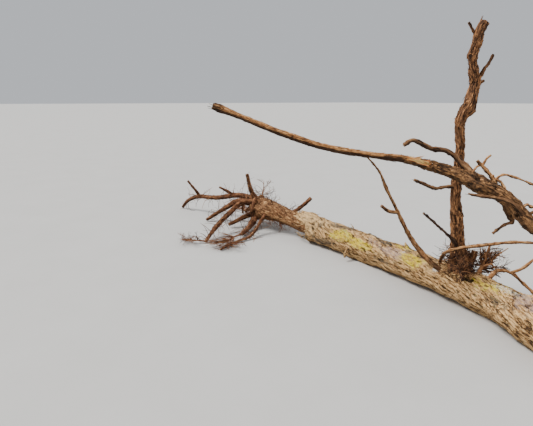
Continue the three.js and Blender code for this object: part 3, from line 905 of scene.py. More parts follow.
# %% A bark's finish
def bark_finish(
    name, light, middle, dark, crack,
    bounds=(0.42, 0.50, 0.59), underside_shade=0.5, shade=(-0.1, 0.95), more=None, torn=False,
):
    """Plates that are dark, middling or light at random, fibres over them, and dark cracks.

    bounds are where the mixed value turns from dark to middling, and on to light. The number
    after them is how strongly the underside is painted darker, as painted shade where the limb
    faces down, and shade is where that painted shade begins and where it is full, from -1 on top
    to 1 below.
    """
    f = Finish(name)
    grain = f.attribute("grain", "Vector")
    fibres = f.pattern(grain, (520, 520, 70), 6.0, 0.72)
    flecks = f.pattern(grain, (230, 230, 85), 4.0, 0.65)
    fine = f.pattern(grain, (1900, 1900, 260), 3.0)
    patches = f.pattern(grain, (60, 60, 26))
    value = f.attribute("strip") * 0.16 + fibres * 0.34 + flecks * 0.28 + fine * 0.12 + patches * 0.10
    low, half, high = bounds
    colour = f.mix(f.between(value, low, half), dark, middle)
    colour = f.mix(f.between(value, half, high), colour, light)
    if more:
        colour = more(f, colour, grain, fibres)
    # Painted shade: where the limb faces down it is painted darker, towards the crack colour.
    below = f.between(f.attribute("under") + (patches - 0.5) + (fibres - 0.5) * 1.2, *shade)
    colour = f.mix(below * underside_shade, colour, crack)
    # The stain marks darken the bark towards the crack colour: stains, and painted shade where a mark lies
    # on a side out of the light, as on the tall shoot.
    stain_and_shade = f.between(f.attribute("stain_and_shade") + (fibres - 0.5) * 0.9, 0.35, 0.8)
    colour = f.mix(stain_and_shade * 0.8, colour, crack)
    # Painted shade in the cracks: deep cracks, the knots' hollows and the roots of loose strips are
    # darkened towards the crack colour, over the inner bark's own dark.
    deep = f.between(f.attribute("crack") + (fibres - 0.5) * 0.5, 0.3, 0.95)
    colour = f.mix(deep * 0.85, colour, crack)
    if torn:
        wound = f.attribute("wound")
        colour = f.mix(f.between(wound, 0.1, 0.6), colour, torn_wood(f, grain, wound))
    inner = f.attribute("inner")
    rings = f.pattern(grain, (500, 500, 500), 3.0)
    wood = f.mix(rings, tone(96, 68, 48), tone(170, 128, 92))
    colour = f.mix(f.between(inner, 0.1, 0.25) * 0.85, colour, wood)
    return f.finished(colour, f.between(fine, 0.2, 0.8) * 0.12 + 0.84, fibres * 0.7 + fine * 0.5)


# %% Finishes of bark, from the trunk's to the roots'
# Each finish paints its underside darker as painted shade, by the number after its bounds; the outer arm's
# lower half is painted dark as if out of the light.
BARK = {
    "trunk": bark_finish(
        "trunk_bark", tone(232, 190, 132), tone(170, 129, 82), tone(70, 49, 31), tone(24, 16, 11),
        bounds=(0.44, 0.49, 0.55), underside_shade=0.4, more=weathered,
    ),
    "rootstock": bark_finish(
        "rootstock_bark", tone(212, 164, 112), tone(140, 98, 65), tone(72, 46, 31), tone(24, 15, 10)
    ),
    "arm": bark_finish(
        "arm_bark", tone(212, 152, 100), tone(126, 87, 59), tone(60, 41, 29), tone(16, 11, 8),
        bounds=(0.43, 0.505, 0.605),
    ),
    "long_arm": bark_finish(
        "long_arm_bark", tone(196, 144, 94), tone(120, 86, 57), tone(64, 46, 32), tone(18, 12, 8),
        bounds=(0.43, 0.50, 0.60), underside_shade=0.68, shade=(-0.3, 0.75), torn=True,
    ),
    "outer": bark_finish(
        "outer_arm_bark", tone(230, 174, 114), tone(168, 114, 69), tone(92, 58, 36), tone(40, 25, 16),
        bounds=(0.42, 0.49, 0.58), underside_shade=0.95, shade=(-0.5, 0.3), torn=True,
    ),
    "shoot": bark_finish(
        "shoot_bark", tone(242, 188, 130), tone(184, 130, 84), tone(100, 64, 42), tone(34, 21, 14),
        bounds=(0.42, 0.49, 0.58), underside_shade=0.8, shade=(-0.5, 0.6),
    ),
    "brown_shoot": bark_finish(
        "brown_shoot_bark", tone(184, 140, 96), tone(136, 97, 65), tone(78, 52, 35), tone(26, 17, 12),
        bounds=(0.42, 0.50, 0.60), underside_shade=0.85, shade=(-0.5, 0.5),
    ),
    "dark_shoot": bark_finish(
        "dark_shoot_bark", tone(118, 90, 70), tone(74, 54, 42), tone(46, 34, 28), tone(24, 18, 15)
    ),
    "root": bark_finish(
        "root_bark", tone(200, 144, 98), tone(122, 79, 52), tone(66, 41, 28), tone(20, 13, 9),
        bounds=(0.42, 0.51, 0.62), underside_shade=0.75, shade=(-0.4, 0.7),
    ),
}
print("bark finishes:", ", ".join(BARK))

# %% [markdown]
# ## The trunk
#
# The trunk is the fibrous old wood above the graft. It is thickest at the graft's collar and at
# the head, has old knots, and lies with its underside on the ground. Its lower end is a ragged
# shelf of thick bark that overhangs the thinner shank.

# %% The trunk's shape
# Swellings: the fraction along, the angle in radians, the height in mm, and how far each reaches
# along and round. Open knots: the metres along, the degrees round, and in mm the radius, the
# height of the collar and the depth of the hollow.
TRUNK_KNOTS = [
    (0.11, 0.4, 5, 0.035, 0.9), (0.3, -0.6, 4, 0.025, 0.6), (0.47, 0.9, 4, 0.03, 0.7),
    (0.6, -0.9, 5, 0.025, 0.6), (0.83, 0.5, 7, 0.03, 0.8), (0.93, -1.6, 9, 0.035, 0.8),
    (0.96, 1.9, 10, 0.03, 0.8),
]
OPEN_KNOTS = [
    (0.125, 72, 9, 3.0, 4), (0.345, 8, 8, 3.5, 4), (0.352, 40, 6, 2, 3), (0.62, 30, 11, 4, 5),
    (0.008, 52, 6, 2.5, 7), (0.020, 55, 6, 2.0, 7), (0.034, 60, 5, 1.5, 5),
]
TRUNK_LENGTH = 0.873
GRAIN_TURN = 4.8
RIBS, RIB_HEIGHT = 4, 2
SWELLINGS, SWELLING_HEIGHT = 14, 1.2
BROKEN_BACK = 0.053
TOP_OVERHANG = 0.014


def trunk_ribs(t, a):
    """Ribs of thicker wood that wind with the grain, and swellings between them."""
    wound_round = RIBS * (GRAIN_TURN * t - a) + 1.2 * np.sin(17 * t)
    ribs = RIB_HEIGHT * np.sin(wound_round) * (0.7 + 0.3 * np.sin(37 * t - 2 * a))
    return ribs + SWELLING_HEIGHT * np.sin(2 * math.pi * SWELLINGS * t + 2 * a)


def trunk_shape(t, a):
    """The trunk's lobes, its ribs and its knots, which are bells at a place along and round."""
    lobes = 1.6 * np.sin(9 * t - 3 * a) + 1.1 * np.sin(1 - 5 * a - 14 * t) + trunk_ribs(t, a)
    for place, angle, height, length, width in TRUNK_KNOTS:
        turn = np.arctan2(np.sin(-a - angle), np.cos(-a - angle))
        lobes = lobes + height * bump(t, place, length) * bump(turn, 0, width)
    return lobes / 1000


def around(a, scale, seed):
    """Noise round a limb: it joins up with itself after a full turn."""
    return noise(np.stack([scale * np.cos(a), scale * np.sin(a), 0 * a], -1), seed)


def broken_here(a):
    """1 at the angles where the shelf is broken back most, in front, 0.35 below, and 0 elsewhere."""
    turn = np.mod(a, 2 * math.pi)
    return steps(turn, 0.86, 1.04) * (1 - 0.65 * steps(turn, 2.6, 3.1)) * (1 - steps(turn, 3.7, 4.2))


def trunk_rag(s, a):
    """How far the ragged lower end falls short or stands out, fading along the trunk.

    Above, the shelf stands out. In front and below it is broken back in one step.
    """
    shelf = BROKEN_BACK * broken_here(a) * np.exp(-s / 0.09)
    shelf = shelf - TOP_OVERHANG * bump(a, 0.2, 0.7) * np.exp(-s / 0.03)
    teeth = 0.004 * around(a, 3, 7) + 0.004 * around(a, 9, 8) + 0.003 * around(a, 26, 9)
    return shelf + teeth * np.exp(-s / 0.012)


def trunk_lip(s, a):
    """The shelf's edge curls out by 2 mm, more in some places, over its last 8 mm."""
    return 0.002 * (1 + around(a, 6, 12)) * np.exp(-s / 0.008)


def trunk_all(t, a):
    """The trunk's shape with the lip of the shelf on it."""
    return trunk_shape(t, a) + trunk_lip(t * TRUNK_LENGTH, a)


trunk = Limb(TRUNK, "trunk", 21, trunk_all, OPEN_KNOTS)
trunk_body = trunk.body(rings=490, sides=172, start="hollow", end="cut", rag=trunk_rag)
print("trunk: %.3f m long" % trunk.length)

# %% [markdown]
# Lichen, grey weathering and stains could be painted, but they also have a place on the limb.
# Some of the stain marks are painted shade, on a side that lies out of the light. A mark is a
# bell along and round the limb, kept as a value of the mesh, and the finish makes its edge
# ragged.

# %% The marks on the trunk
# Each mark has its place along in metres and round in degrees, its half sizes, and its strength.
TRUNK_MARKS = {
    "cream": [(0.03, 40, 0.07, 80, 0.9), (0.13, 20, 0.06, 40, 0.5), (0.5, 30, 0.05, 30, 0.8)],
    "grey": [
        (0.170, 20, 0.026, 14, 1.5), (0.104, 42, 0.010, 12, 1.2), (0.215, 14, 0.018, 12, 1.4),
        (0.09, 112, 0.06, 28, 0.7), (0.345, 12, 0.026, 16, 1.5), (0.424, 10, 0.008, 14, 1.5),
        (0.29, -4, 0.03, 14, 0.8), (0.47, 14, 0.02, 10, 0.9), (0.55, -20, 0.08, 24, 0.7),
        (0.7, 60, 0.05, 20, 0.6), (0.155, 100, 0.04, 14, 0.6), (0.36, 96, 0.05, 16, 0.6),
    ],
    "lilac": [(0.40, 44, 0.05, 26, 1.1), (0.31, 30, 0.03, 20, 0.6), (0.76, 20, 0.06, 40, 0.7)],
    "green": [
        (0.205, 54, 0.036, 19, 1.5), (0.160, 68, 0.028, 14, 0.7), (0.275, 62, 0.040, 17, 1.5),
        (0.455, 44, 0.034, 26, 1.2), (0.40, -4, 0.03, 16, 0.8), (0.66, 20, 0.06, 30, 0.6),
        (0.24, -100, 0.1, 40, 0.6), (0.62, -90, 0.1, 40, 0.6),
    ],
    "white": [
        (0.530, 50, 0.010, 10, 1.0), (0.7, 10, 0.07, 22, 0.75), (0.148, 10, 0.006, 7, 0.9),
        (0.42, 26, 0.012, 12, 0.7),
    ],
    "stain_and_shade": [(0.04, 64, 0.010, 9, 1.0), (0.27, 104, 0.16, 14, 0.35), (0.5, 90, 0.1, 12, 0.4)],
}
print("marks on the trunk:", sum(map(len, TRUNK_MARKS.values())))


def mark(body, marks):
    """Adds to a body how strongly each kind of mark shows at each point."""
    along, angle = body["values"]["along"], body["values"]["angle"]
    for name, places in marks.items():
        total = 0
        for s, degrees, length, width, strength in places:
            turn = angle - math.radians(degrees)
            turn = np.degrees(np.arctan2(np.sin(turn), np.cos(turn)))
            total = total + strength * bump(along, s, length) * bump(turn, 0, width)
        body["values"][name] = np.clip(total, 0, 1)


# %% [markdown]
# Stubs and side roots are one piece with the limb that they leave. They could be joined with a
# Boolean, but a fork that starts inside the limb looks the same, and the bark stays untouched.

# %% Forks and stubs
# A fork that is 16 mm thick or more gets more points round each ring.
FORK_SIDES, THICK_FORK_SIDES = 22, 66
THICK_FORK = 16
FORK_RING_GAP, FEWEST_RINGS = 0.0016, 24
FORK_SEEDS = 50
STUB_GREY = 0.35


def forks_of(name, look, seed):
    """The side stubs and branch roots that are one piece with a limb."""
    made_forks = []
    for k, rows in enumerate(FORKS.get(name, [])):
        fork = Limb(rows, look, seed + FORK_SEEDS + k)
        rings = max(FEWEST_RINGS, int(fork.length / FORK_RING_GAP))
        sides = FORK_SIDES if rows[0][3] < THICK_FORK else THICK_FORK_SIDES
        made_forks.append(fork.body(rings, sides, end="cut"))
    return made_forks


stubs = forks_of("trunk", "arm", 21)
for stub in stubs:
    stub["values"]["grey"] = np.full(len(stub["points"]), STUB_GREY)
mark(trunk_body, TRUNK_MARKS)
piece("trunk_old_wood", [trunk_body, *stubs], [BARK["trunk"]], "trunk")

# %% [markdown]
# The trunk's loose strips: small ones everywhere, a fringe that hangs over the broken edge of
# the shelf, and one wide flap of bark that stands up on top, where a shoot once was.

# %% Loose bark of the trunk
SPLINTER = [(467, 46, 74, 5), (461, 44, 88, 4), (454, 40, 98, 2.4)]
FRINGE, TUFT = 90, 16
rng = np.random.default_rng(301)
strips = scattered(trunk, rng, count=900, length=0.020, width=0.0034, lift=0.0030)
fringe_angle = rng.uniform(-2.4, 2.6, FRINGE)
fringe_start = 0.010 + BROKEN_BACK * broken_here(fringe_angle) - 0.012 * bump(fringe_angle, 0.2, 0.7)
fringe = flakes(
    trunk, rng, fringe_start, fringe_angle, length=-rng.uniform(0.012, 0.030, FRINGE),
    width=rng.uniform(0.003, 0.008, FRINGE), lift=rng.uniform(-0.004, 0.003, FRINGE),
)
flap = flakes(
    trunk, rng, [0.432, 0.426, 0.43], [-0.25, 0.02, 0.30], length=[-0.040, -0.036, -0.026],
    width=[0.012, 0.014, 0.009], lift=[0.011, 0.013, 0.006],
)
tuft = flakes(
    trunk, rng, rng.uniform(0.060, 0.074, TUFT), rng.uniform(1.8, 2.5, TUFT),
    length=-rng.uniform(0.010, 0.020, TUFT), width=rng.uniform(0.002, 0.004, TUFT),
    lift=rng.uniform(0.0, 0.006, TUFT),
)
loose = [strips, fringe, flap, tuft]
for body in loose:
    mark(body, TRUNK_MARKS)
loose.append(Limb(SPLINTER, "young", 27).body(rings=20, sides=12))
piece("trunk_loose_bark", loose, [BARK["trunk"]], "trunk")

# %% [markdown]
# ## The rootstock
#
# Below the graft the wood is another vine's: a thin reddish shank that swells into the root
# crown. The crown is lumpy, because every root that ever grew there has thickened its own foot.

# %% Rootstock
CROWN_KNOTS = [(0.016, 60, 12, 4, 3), (0.05, 24, 10, 3, 2)]


def crown_shape(t, a):
    """Lumps that are strongest at the crown, and low lobes all along."""
    lumps = 3.5 * np.sin(1.2 - 3 * a) * bump(t, 0.16, 0.2) + 1.4 * np.sin(8 * t - 5 * a)
    knobs = 4.0 * noise(np.stack([2.2 * np.cos(a), 2.2 * np.sin(a), 14 * t + 0 * a], -1), 5)
    return (lumps + knobs * bump(t, 0.1, 0.35)) / 1000


rootstock = Limb(ROOTSTOCK, "rootstock", 61, crown_shape, CROWN_KNOTS)
rng = np.random.default_rng(302)
stock_loose = scattered(rootstock, rng, 700, length=0.016, width=0.0028, lift=0.0034, span=(0, 0.9))
stock_body = rootstock.body(rings=280, sides=150, start="blunt")
piece("rootstock_wood", [stock_body], [BARK["rootstock"]], "rootstock")
piece("rootstock_loose_bark", [stock_loose], [BARK["rootstock"]], "rootstock")

# %% [markdown]
# ## The arms
#
# The upright arm is rough, dark and knotty, with spurs near its top and a flat cut at the end.
# The long arm is as rough up to the place where its bark and half its wood were torn off, and
# from there on it is thin, smoother and orange-brown.

# %% Knots and stains of the arms
UPRIGHT_KNOTS = [
    (0.50, -165, 7, 4, 0), (0.395, 30, 9, 3, 0), (0.455, -150, 6, 1.5, 2), (0.27, -100, 6, 1.5, 3),
    (0.15, 60, 8, 2, 0), (0.54, 120, 5, 1.5, 0), (0.452, 40, 8, 2.5, 0),
]
LONG_ARM_KNOTS = [
    (0.216, 175, 8, 3, 7), (0.312, -115, 14, 4, 6), (0.325, -60, 8, 3, 0), (0.36, 170, 7, 2, 3),
    (0.30, 170, 10, 2, 0), (0.17, -110, 8, 2, 0), (0.12, -150, 8, 2, 3), (0.62, -100, 6, 1.5, 0),
    (0.75, -160, 6, 1.5, 0), (0.52, -60, 6, 1.5, 0), (0.482, -170, 6, 1.5, 0), (0.876, -90, 8, 2, 0),
    (0.874, 90, 8, 2, 0),
]
LONG_ARM_MARKS = {
    "stain_and_shade": [
        (0.886, -120, 0.016, 400, 1.4), (0.482, -170, 0.010, 50, 0.9), (0.462, -172, 0.010, 40, 0.9),
        (0.50, 160, 0.012, 40, 0.7), (0.62, -170, 0.012, 30, 0.6), (0.392, -125, 0.010, 70, 0.7),
        (0.217, -172, 0.009, 34, 1.0), (0.325, -120, 0.008, 16, 0.8), (0.37, -80, 0.03, 12, 0.6),
        (0.375, -120, 0.030, 90, 0.56),
    ],
}
ARM_SIDES, OUTER_ARM_SIDES = 104, 60
ARM_RING_GAP = 0.0012
print("knots on the arms:", len(UPRIGHT_KNOTS) + len(LONG_ARM_KNOTS))


# %% Upright arm
def arm_shape(t, a):
    """A low three-lobed section that winds along the arm."""
    return 1.1 * np.sin(11 * t - 3 * a) * (1 - 0.7 * t) / 1000


upright = Limb(UPRIGHT_ARM, "arm", 71, arm_shape, UPRIGHT_KNOTS)
upright_bodies = [upright.body(rings=500, sides=ARM_SIDES, end="cut"), *forks_of("upright_arm", "arm", 71)]
piece("upright_arm_wood", upright_bodies, [BARK["arm"]], "upright_arm")
rng = np.random.default_rng(303)
upright_loose = [
    scattered(upright, rng, 800, length=0.012, width=0.0034, lift=0.0026),
    scattered(upright, rng, 120, length=0.026, width=0.0028, lift=0.0036, span=(0.05, 0.95)),
]
piece("upright_arm_loose_bark", upright_loose, [BARK["arm"]], "upright_arm")

# %% [markdown]
# The wound is part of the arm's surface function: past the torn edge of the bark the surface
# drops by a few millimetres on one side and comes back to the bark's level further out.

# %% The wound
WOUND_START, WOUND_END = 0.402, 0.450
WOUND_MIDDLE, WOUND_HALF = math.radians(-120), math.radians(64)


def torn_open(s, a):
    """Where the wood is bare, from 0 to 1, and how deep in metres the surface is cut there."""
    turn = a - WOUND_MIDDLE
    away = np.abs(np.arctan2(np.sin(turn), np.cos(turn)))
    jag = 0.006 * around(a, 5, 3) + 0.003 * around(a, 17, 4)
    near = steps(s - WOUND_START - jag, 0, 0.0015)
    far = 1 - steps(s - WOUND_END - 1.2 * jag, -0.004, 0.004)
    beside = 1 - steps(away + 8 * jag, WOUND_HALF - 0.12, WOUND_HALF + 0.06)
    bare = near * far * beside
    outward = np.clip((s - WOUND_START) / (WOUND_END - WOUND_START), 0, 1)
    splinters = 0.0024 * noise(np.stack([a * 9, s * 30, 0 * s], -1), 6)
    streaks = 0.35 * noise(np.stack([a * 7, s * 20, 0 * s], -1), 9)
    shown = bare * np.clip(1.25 - 0.65 * outward + streaks, 0, 1)
    return shown, bare * (0.0075 * (1 - outward) + 0.0010 + splinters)


print("the wound is %.0f mm long" % (1000 * (WOUND_END - WOUND_START)))

# %% Long arm
long_arm = Limb(LONG_ARM, "arm", 81, arm_shape, LONG_ARM_KNOTS, torn_open)
outer_arm = Limb(LONG_ARM, "young", 81, arm_shape, LONG_ARM_KNOTS, torn_open)
legs = len(LONG_ARM) - 1
rng = np.random.default_rng(304)


def tip_rag(s, a):
    """The arm's tip is broken off unevenly."""
    return (0.004 * around(a, 2, 15) + 0.003 * around(a, 8, 16)) * np.exp((s - outer_arm.length) / 0.006)


for name, (first, last) in LONG_ARM_CUTS.items():
    outer = name == "long_arm_outer"
    limb, sides = (outer_arm, OUTER_ARM_SIDES) if outer else (long_arm, ARM_SIDES)
    start, end = "flush" if first else "dome", "cut" if outer else "flush"
    span = np.interp(np.array([first, last]) / legs, limb.t, limb.s)
    rings = int((span[1] - span[0]) / ARM_RING_GAP)
    body = limb.body(rings, sides, start, end, span, tip_rag if outer else None)
    mark(body, LONG_ARM_MARKS)
    finish, share = BARK["outer" if outer else "long_arm"], span / limb.length
    if outer:
        loose = [scattered(limb, rng, 160, length=0.030, width=0.0022, lift=0.0018, span=share)]
    else:
        loose = [
            scattered(limb, rng, 420, length=0.013, width=0.0036, lift=0.0026, span=share),
            scattered(limb, rng, 50, length=0.028, width=0.0030, lift=0.0036, span=share),
        ]
    piece(name + "_wood", [body, *forks_of(name, "young", 81)], [finish], name)
    piece(name + "_loose_bark", loose, [finish], name)

# %% [markdown]
# Splinters stand round the wound: pale ones of torn wood, torn strips of bark at its near edge,
# and a thin curl of bark above it. They are loose strips like the others, in chosen places.

# %% Splinters at the wound
SPLINTERS, TORN_STRIPS = 26, 30
splinter_angle = WOUND_MIDDLE + rng.uniform(-0.95, 0.95, SPLINTERS) * WOUND_HALF
pale_splinters = flakes(
    long_arm, rng, WOUND_START + rng.uniform(0.008, 0.04, SPLINTERS), splinter_angle,
    length=-rng.uniform(0.008, 0.022, SPLINTERS), width=rng.uniform(0.0012, 0.003, SPLINTERS),
    lift=rng.uniform(0.001, 0.005, SPLINTERS),
)
torn_angle = WOUND_MIDDLE + rng.uniform(-1.1, 1.1, TORN_STRIPS) * WOUND_HALF
torn_strips = flakes(
    long_arm, rng, np.full(TORN_STRIPS, WOUND_START - 0.012), torn_angle,
    length=rng.uniform(0.008, 0.018, TORN_STRIPS), width=rng.uniform(0.003, 0.006, TORN_STRIPS),
    lift=rng.uniform(0.001, 0.004, TORN_STRIPS),
)
torn_strips["values"]["wound"] *= 0
curl = flakes(
    long_arm, rng, [0.452, 0.455], [-1.25, -1.5], length=[-0.034, -0.022], width=[0.004, 0.003],
    lift=[0.012, 0.007],
)
piece("wound_splinters", [pale_splinters, torn_strips, curl], [BARK["long_arm"]], "long_arm_middle")

# %% [markdown]
# ## The side shoots
#
# Last year's canes and thin stubs are smoother than the arms, and swollen where a leaf stood. A
# cane could be a bevelled curve, but as limbs they get the same bark and strips, only finer.

# %% Side shoots
JOINTS = (0.18, 0.37, 0.55, 0.74, 0.92)
SHOOT_SIDES, SHOOT_RING_GAP, SHOOT_STRIPS = 26, 0.0013, 260
SHOOT_SEEDS, SHOOT_STRIP_SEEDS = 100, 330


def shoot_shape(t, a):
    """Swollen joints along a shoot, where its leaves and side shoots stood."""
    swell = sum(bump(t, place, 0.022) for place in JOINTS)
    return 0.9 * swell * (1 + 0.5 * np.cos(a - 9 * t)) / 1000


SHOOT_MARKS = {
    # On the tall shoot the second and third marks are painted shade on its right side, away from the
    # light; the first darkens its foot all round.
    "shoot_tall": {
        "stain_and_shade": [(0.02, -90, 0.05, 200, 0.9), (0.10, -12, 0.14, 52, 1.2), (0.27, 0, 0.08, 50, 0.8)],
    },
    "side_shoot_wavy": {"stain_and_shade": [(0.07, 150, 0.06, 50, 0.6)]},
}
SHOOT_FINISH = {
    "shoot_dark": "dark_shoot", "stub_behind": "root", "side_shoot_upper": "shoot",
    "side_shoot_wavy": "brown_shoot", "stub_under": "brown_shoot", "side_shoot_under": "brown_shoot",
    "side_shoot_left": "brown_shoot",
}

for k, (name, rows) in enumerate(SIDE_SHOOTS.items()):
    rng, seed = np.random.default_rng(SHOOT_STRIP_SEEDS + k), SHOOT_SEEDS + k
    shoot = Limb(rows, "young", seed, shoot_shape)
    count = int(shoot.length * SHOOT_STRIPS)
    loose = scattered(shoot, rng, count, length=0.018, width=0.0018, lift=0.0014, span=(0.05, 0.95))
    body = shoot.body(int(shoot.length / SHOOT_RING_GAP), SHOOT_SIDES, end="cut")
    mark(body, SHOOT_MARKS.get(name, {}))
    finish = BARK[SHOOT_FINISH.get(name, "shoot")]
    piece(name + "_wood", [body, *forks_of(name, "young", seed), loose], [finish], name)

# %% [markdown]
# ## The roots
#
# The thick roots broke off when the vine was pulled out. They are wavy and lumpy, darker and
# redder than the shoots.

# %% Main roots
ROOT_SIDES, ROOT_RING_GAP, ROOT_STRIPS = 48, 0.0014, 420
ROOT_SEEDS, ROOT_STRIP_SEEDS = 130, 360
main_roots = []
for k, (name, rows) in enumerate(ROOTS.items()):
    rng, seed = np.random.default_rng(ROOT_STRIP_SEEDS + k), ROOT_SEEDS + k
    root = Limb(rows, "root", seed)
    main_roots.append(root)
    count = int(root.length * ROOT_STRIPS)
    loose = scattered(root, rng, count, length=0.020, width=0.0024, lift=0.0022, span=(0, 0.96))
    body = root.body(int(root.length / ROOT_RING_GAP), ROOT_SIDES)
    piece(name + "_wood", [body, *forks_of(name, "root", seed), loose], [BARK["root"]], name)
print("pieces so far:", len(made))

# %% [markdown]
# ## Masses of fine roots and twigs
#
# Each mass grows by one rule: from a stem, twigs set off at a random angle, wander as they go,
# and are skipped when they would leave the mass's own space or touch a limb. The rule is the
# same as the solids', with the same seeds, so the first twigs are the same ones. Then the rule
# is carried on: each twig carries finer ones, and those carry finer ones again.

# %% The masses' places
# Each mass has a stem that starts at a place in mm and sets off along a heading. Its twigs stay
# inside an ellipsoid, with its middle and half sizes, and turn less up and down where it is flat.
MASSES = {
    "fine_roots_front": dict(
        at=(126, -146, 12), heading=(0.5, -0.86, 0.02), length=120, thickness=8, flat=0.28,
        middle=(184, -226, 24), half=(80, 96, 32), twigs=17, seed=11,
    ),
    "fine_roots_left": dict(
        at=(116, -276, 7), heading=(-0.35, -0.9, 0.06), length=76, thickness=6, flat=0.3,
        middle=(84, -318, 20), half=(88, 50, 28), twigs=10, seed=23,
    ),
    "fine_roots_under": dict(
        at=(92, 2, 50), heading=(0.55, 0.7, -0.3), length=84, thickness=7, flat=0.5,
        middle=(124, 44, 34), half=(62, 52, 32), twigs=8, seed=37,
    ),
    "fine_roots_top": dict(
        at=(48, -14, 90), heading=(0.2, 0.1, 1), length=80, thickness=5, flat=1,
        middle=(52, -8, 142), half=(46, 44, 46), twigs=6, seed=41,
    ),
    "fine_roots_back": dict(
        at=(92, 152, 6), heading=(0.75, 0.35, 0.06), length=84, thickness=6, flat=0.3,
        middle=(134, 158, 22), half=(66, 44, 26), twigs=8, seed=53,
    ),
    "fine_roots_tail": dict(
        at=(-158, 34, 7), heading=(-0.9, 0.4, 0.05), length=80, thickness=6, flat=0.3,
        middle=(-196, 44, 22), half=(60, 56, 28), twigs=8, seed=67,
    ),
    "fork_twigs_right": dict(
        at=(850, 44, 66), heading=(0.25, 0.6, 0.75), length=84, thickness=11, flat=1,
        middle=(872, 70, 102), half=(56, 60, 46), twigs=17, seed=73,
    ),
    "fork_twigs_front": dict(
        at=(842, 8, 60), heading=(0.2, -0.35, 0.9), length=56, thickness=8, flat=1,
        middle=(848, -6, 98), half=(44, 36, 36), twigs=10, seed=89,
    ),
}
print("masses of fine roots and twigs:", len(MASSES))

# %% A twig's route
RANDOM_FACTOR, RANDOM_PRIME = 48271, 2147483647
# A twig's steps, and its tip as a share of its foot.
TWIG_STEPS, TWIG_TIP = 3, 0.4


def random_from(seed):
    """A repeatable run of numbers between 0 and 1."""
    state = seed
    while True:
        state = state * RANDOM_FACTOR % RANDOM_PRIME
        yield state / RANDOM_PRIME


def spread(draw, size, flat):
    """A random turn, less up and down where the mass is flat."""
    turn = np.array([next(draw) - 0.5, next(draw) - 0.5, (next(draw) - 0.5) * flat])
    return 2 * size * turn


def wander(start, heading, length, thickness, turn, flat, draw):
    """A twig's rows: at each step its heading turns a little at random."""
    place = np.array(start, float)
    ahead = unit(np.array(heading, float))
    rows = [(*place, thickness)]
    for step in range(1, TWIG_STEPS + 1):
        ahead = unit(ahead + spread(draw, turn, flat))
        place = place + ahead * length / TWIG_STEPS
        rows.append((*place, thickness * (1 + (TWIG_TIP - 1) * step / TWIG_STEPS)))
    return rows


first_numbers = ["%.3f" % number for number, _ in zip(random_from(11), range(4))]
print("numbers drawn from the seed 11:", ", ".join(first_numbers))

# %% Room between the limbs
# How far in mm a twig keeps from the ground and from the limbs.
TWIG_MARGIN = 1.5


def limb_lines():
    """Every limb and fork as short straight lines with a radius, in millimetres."""
    starts, ends, radii = [], [], []
    routes = [*THICK_LIMBS, *SIDE_SHOOTS.values(), *ROOTS.values()]
    routes += [fork for forks in FORKS.values() for fork in forks]
    for rows in routes:
        points, radius = along_route(np.array(rows, float), np.linspace(0, 1, 4 * len(rows) + 1))
        starts.append(points[:-1])
        ends.append(points[1:])
        radii.append(radius[1:] / 2)
    return np.concatenate(starts), np.concatenate(ends), np.concatenate(radii)


LINES = limb_lines()
print("lines that the twigs keep clear of:", len(LINES[0]))


def keeps_to_its_space(rows, middle, half):
    """Whether a twig stays inside the ellipsoid, above the ground and clear of every limb."""
    points = along_route(np.array(rows, float), np.linspace(0, 1, 7))[0]
    room = rows[0][3] / 2 + TWIG_MARGIN
    out = np.linalg.norm((points - middle) / np.array(half, float), axis=-1)
    if (out > 1).any() or (points[:, 2] < room).any():
        return False
    start, end, radius = LINES
    line = end - start
    share = ((points[:, None] - start) * line).sum(-1) / (line**2).sum(-1)
    nearest = start + np.clip(share, 0, 1)[..., None] * line
    away = np.linalg.norm(points[:, None] - nearest, axis=-1)
    return bool((away > radius + room).all())


# %% The growth rule
TWIG_TRIES = 8
# What a unit heading turns by at most: a twig's and a stem's at each step, a twig's at its foot.
TWIG_TURN, STEM_TURN, TWIG_SPREAD = 0.5, 0.16, 1.1
# A twig's usual length and its thickness, as shares of the stem's.
TWIG_LENGTH, TWIG_THICKNESS = 0.55, 0.62
# A twig sets off from 0.3 to 0.98 of the way along its stem, and its length varies from 0.6 to
# 1.4 times the usual one.
TWIG_FROM, TWIG_ROOM = 0.3, 0.68
SHORTEST, LENGTH_ROOM = 0.6, 0.8


def grown(mass):
    """A mass's stem and the twigs on it, as rows."""
    draw = random_from(mass["seed"])
    flat, length = mass["flat"], mass["length"]
    stem = wander(mass["at"], mass["heading"], length, mass["thickness"], STEM_TURN, flat, draw)
    rows = np.array(stem, float)
    routes = [stem]
    for _ in range(mass["twigs"] * TWIG_TRIES):
        if len(routes) > mass["twigs"]:
            break
        t = TWIG_FROM + TWIG_ROOM * next(draw)
        (before, here, after), (_, thick, _) = along_route(rows, np.array([t - 0.001, t, t + 0.001]))
        ahead = unit(after - before) + spread(draw, TWIG_SPREAD, flat)
        reach = length * TWIG_LENGTH * (SHORTEST + LENGTH_ROOM * next(draw))
        twig = wander(here, ahead, reach, thick * TWIG_THICKNESS, TWIG_TURN, flat, draw)
        if keeps_to_its_space(twig, mass["middle"], mass["half"]):
            routes.append(twig)
    return routes


# The thinnest twig in mm, and how far the finer twigs turn at each step.
THINNEST, FINE_TURN = 0.8, 0.45


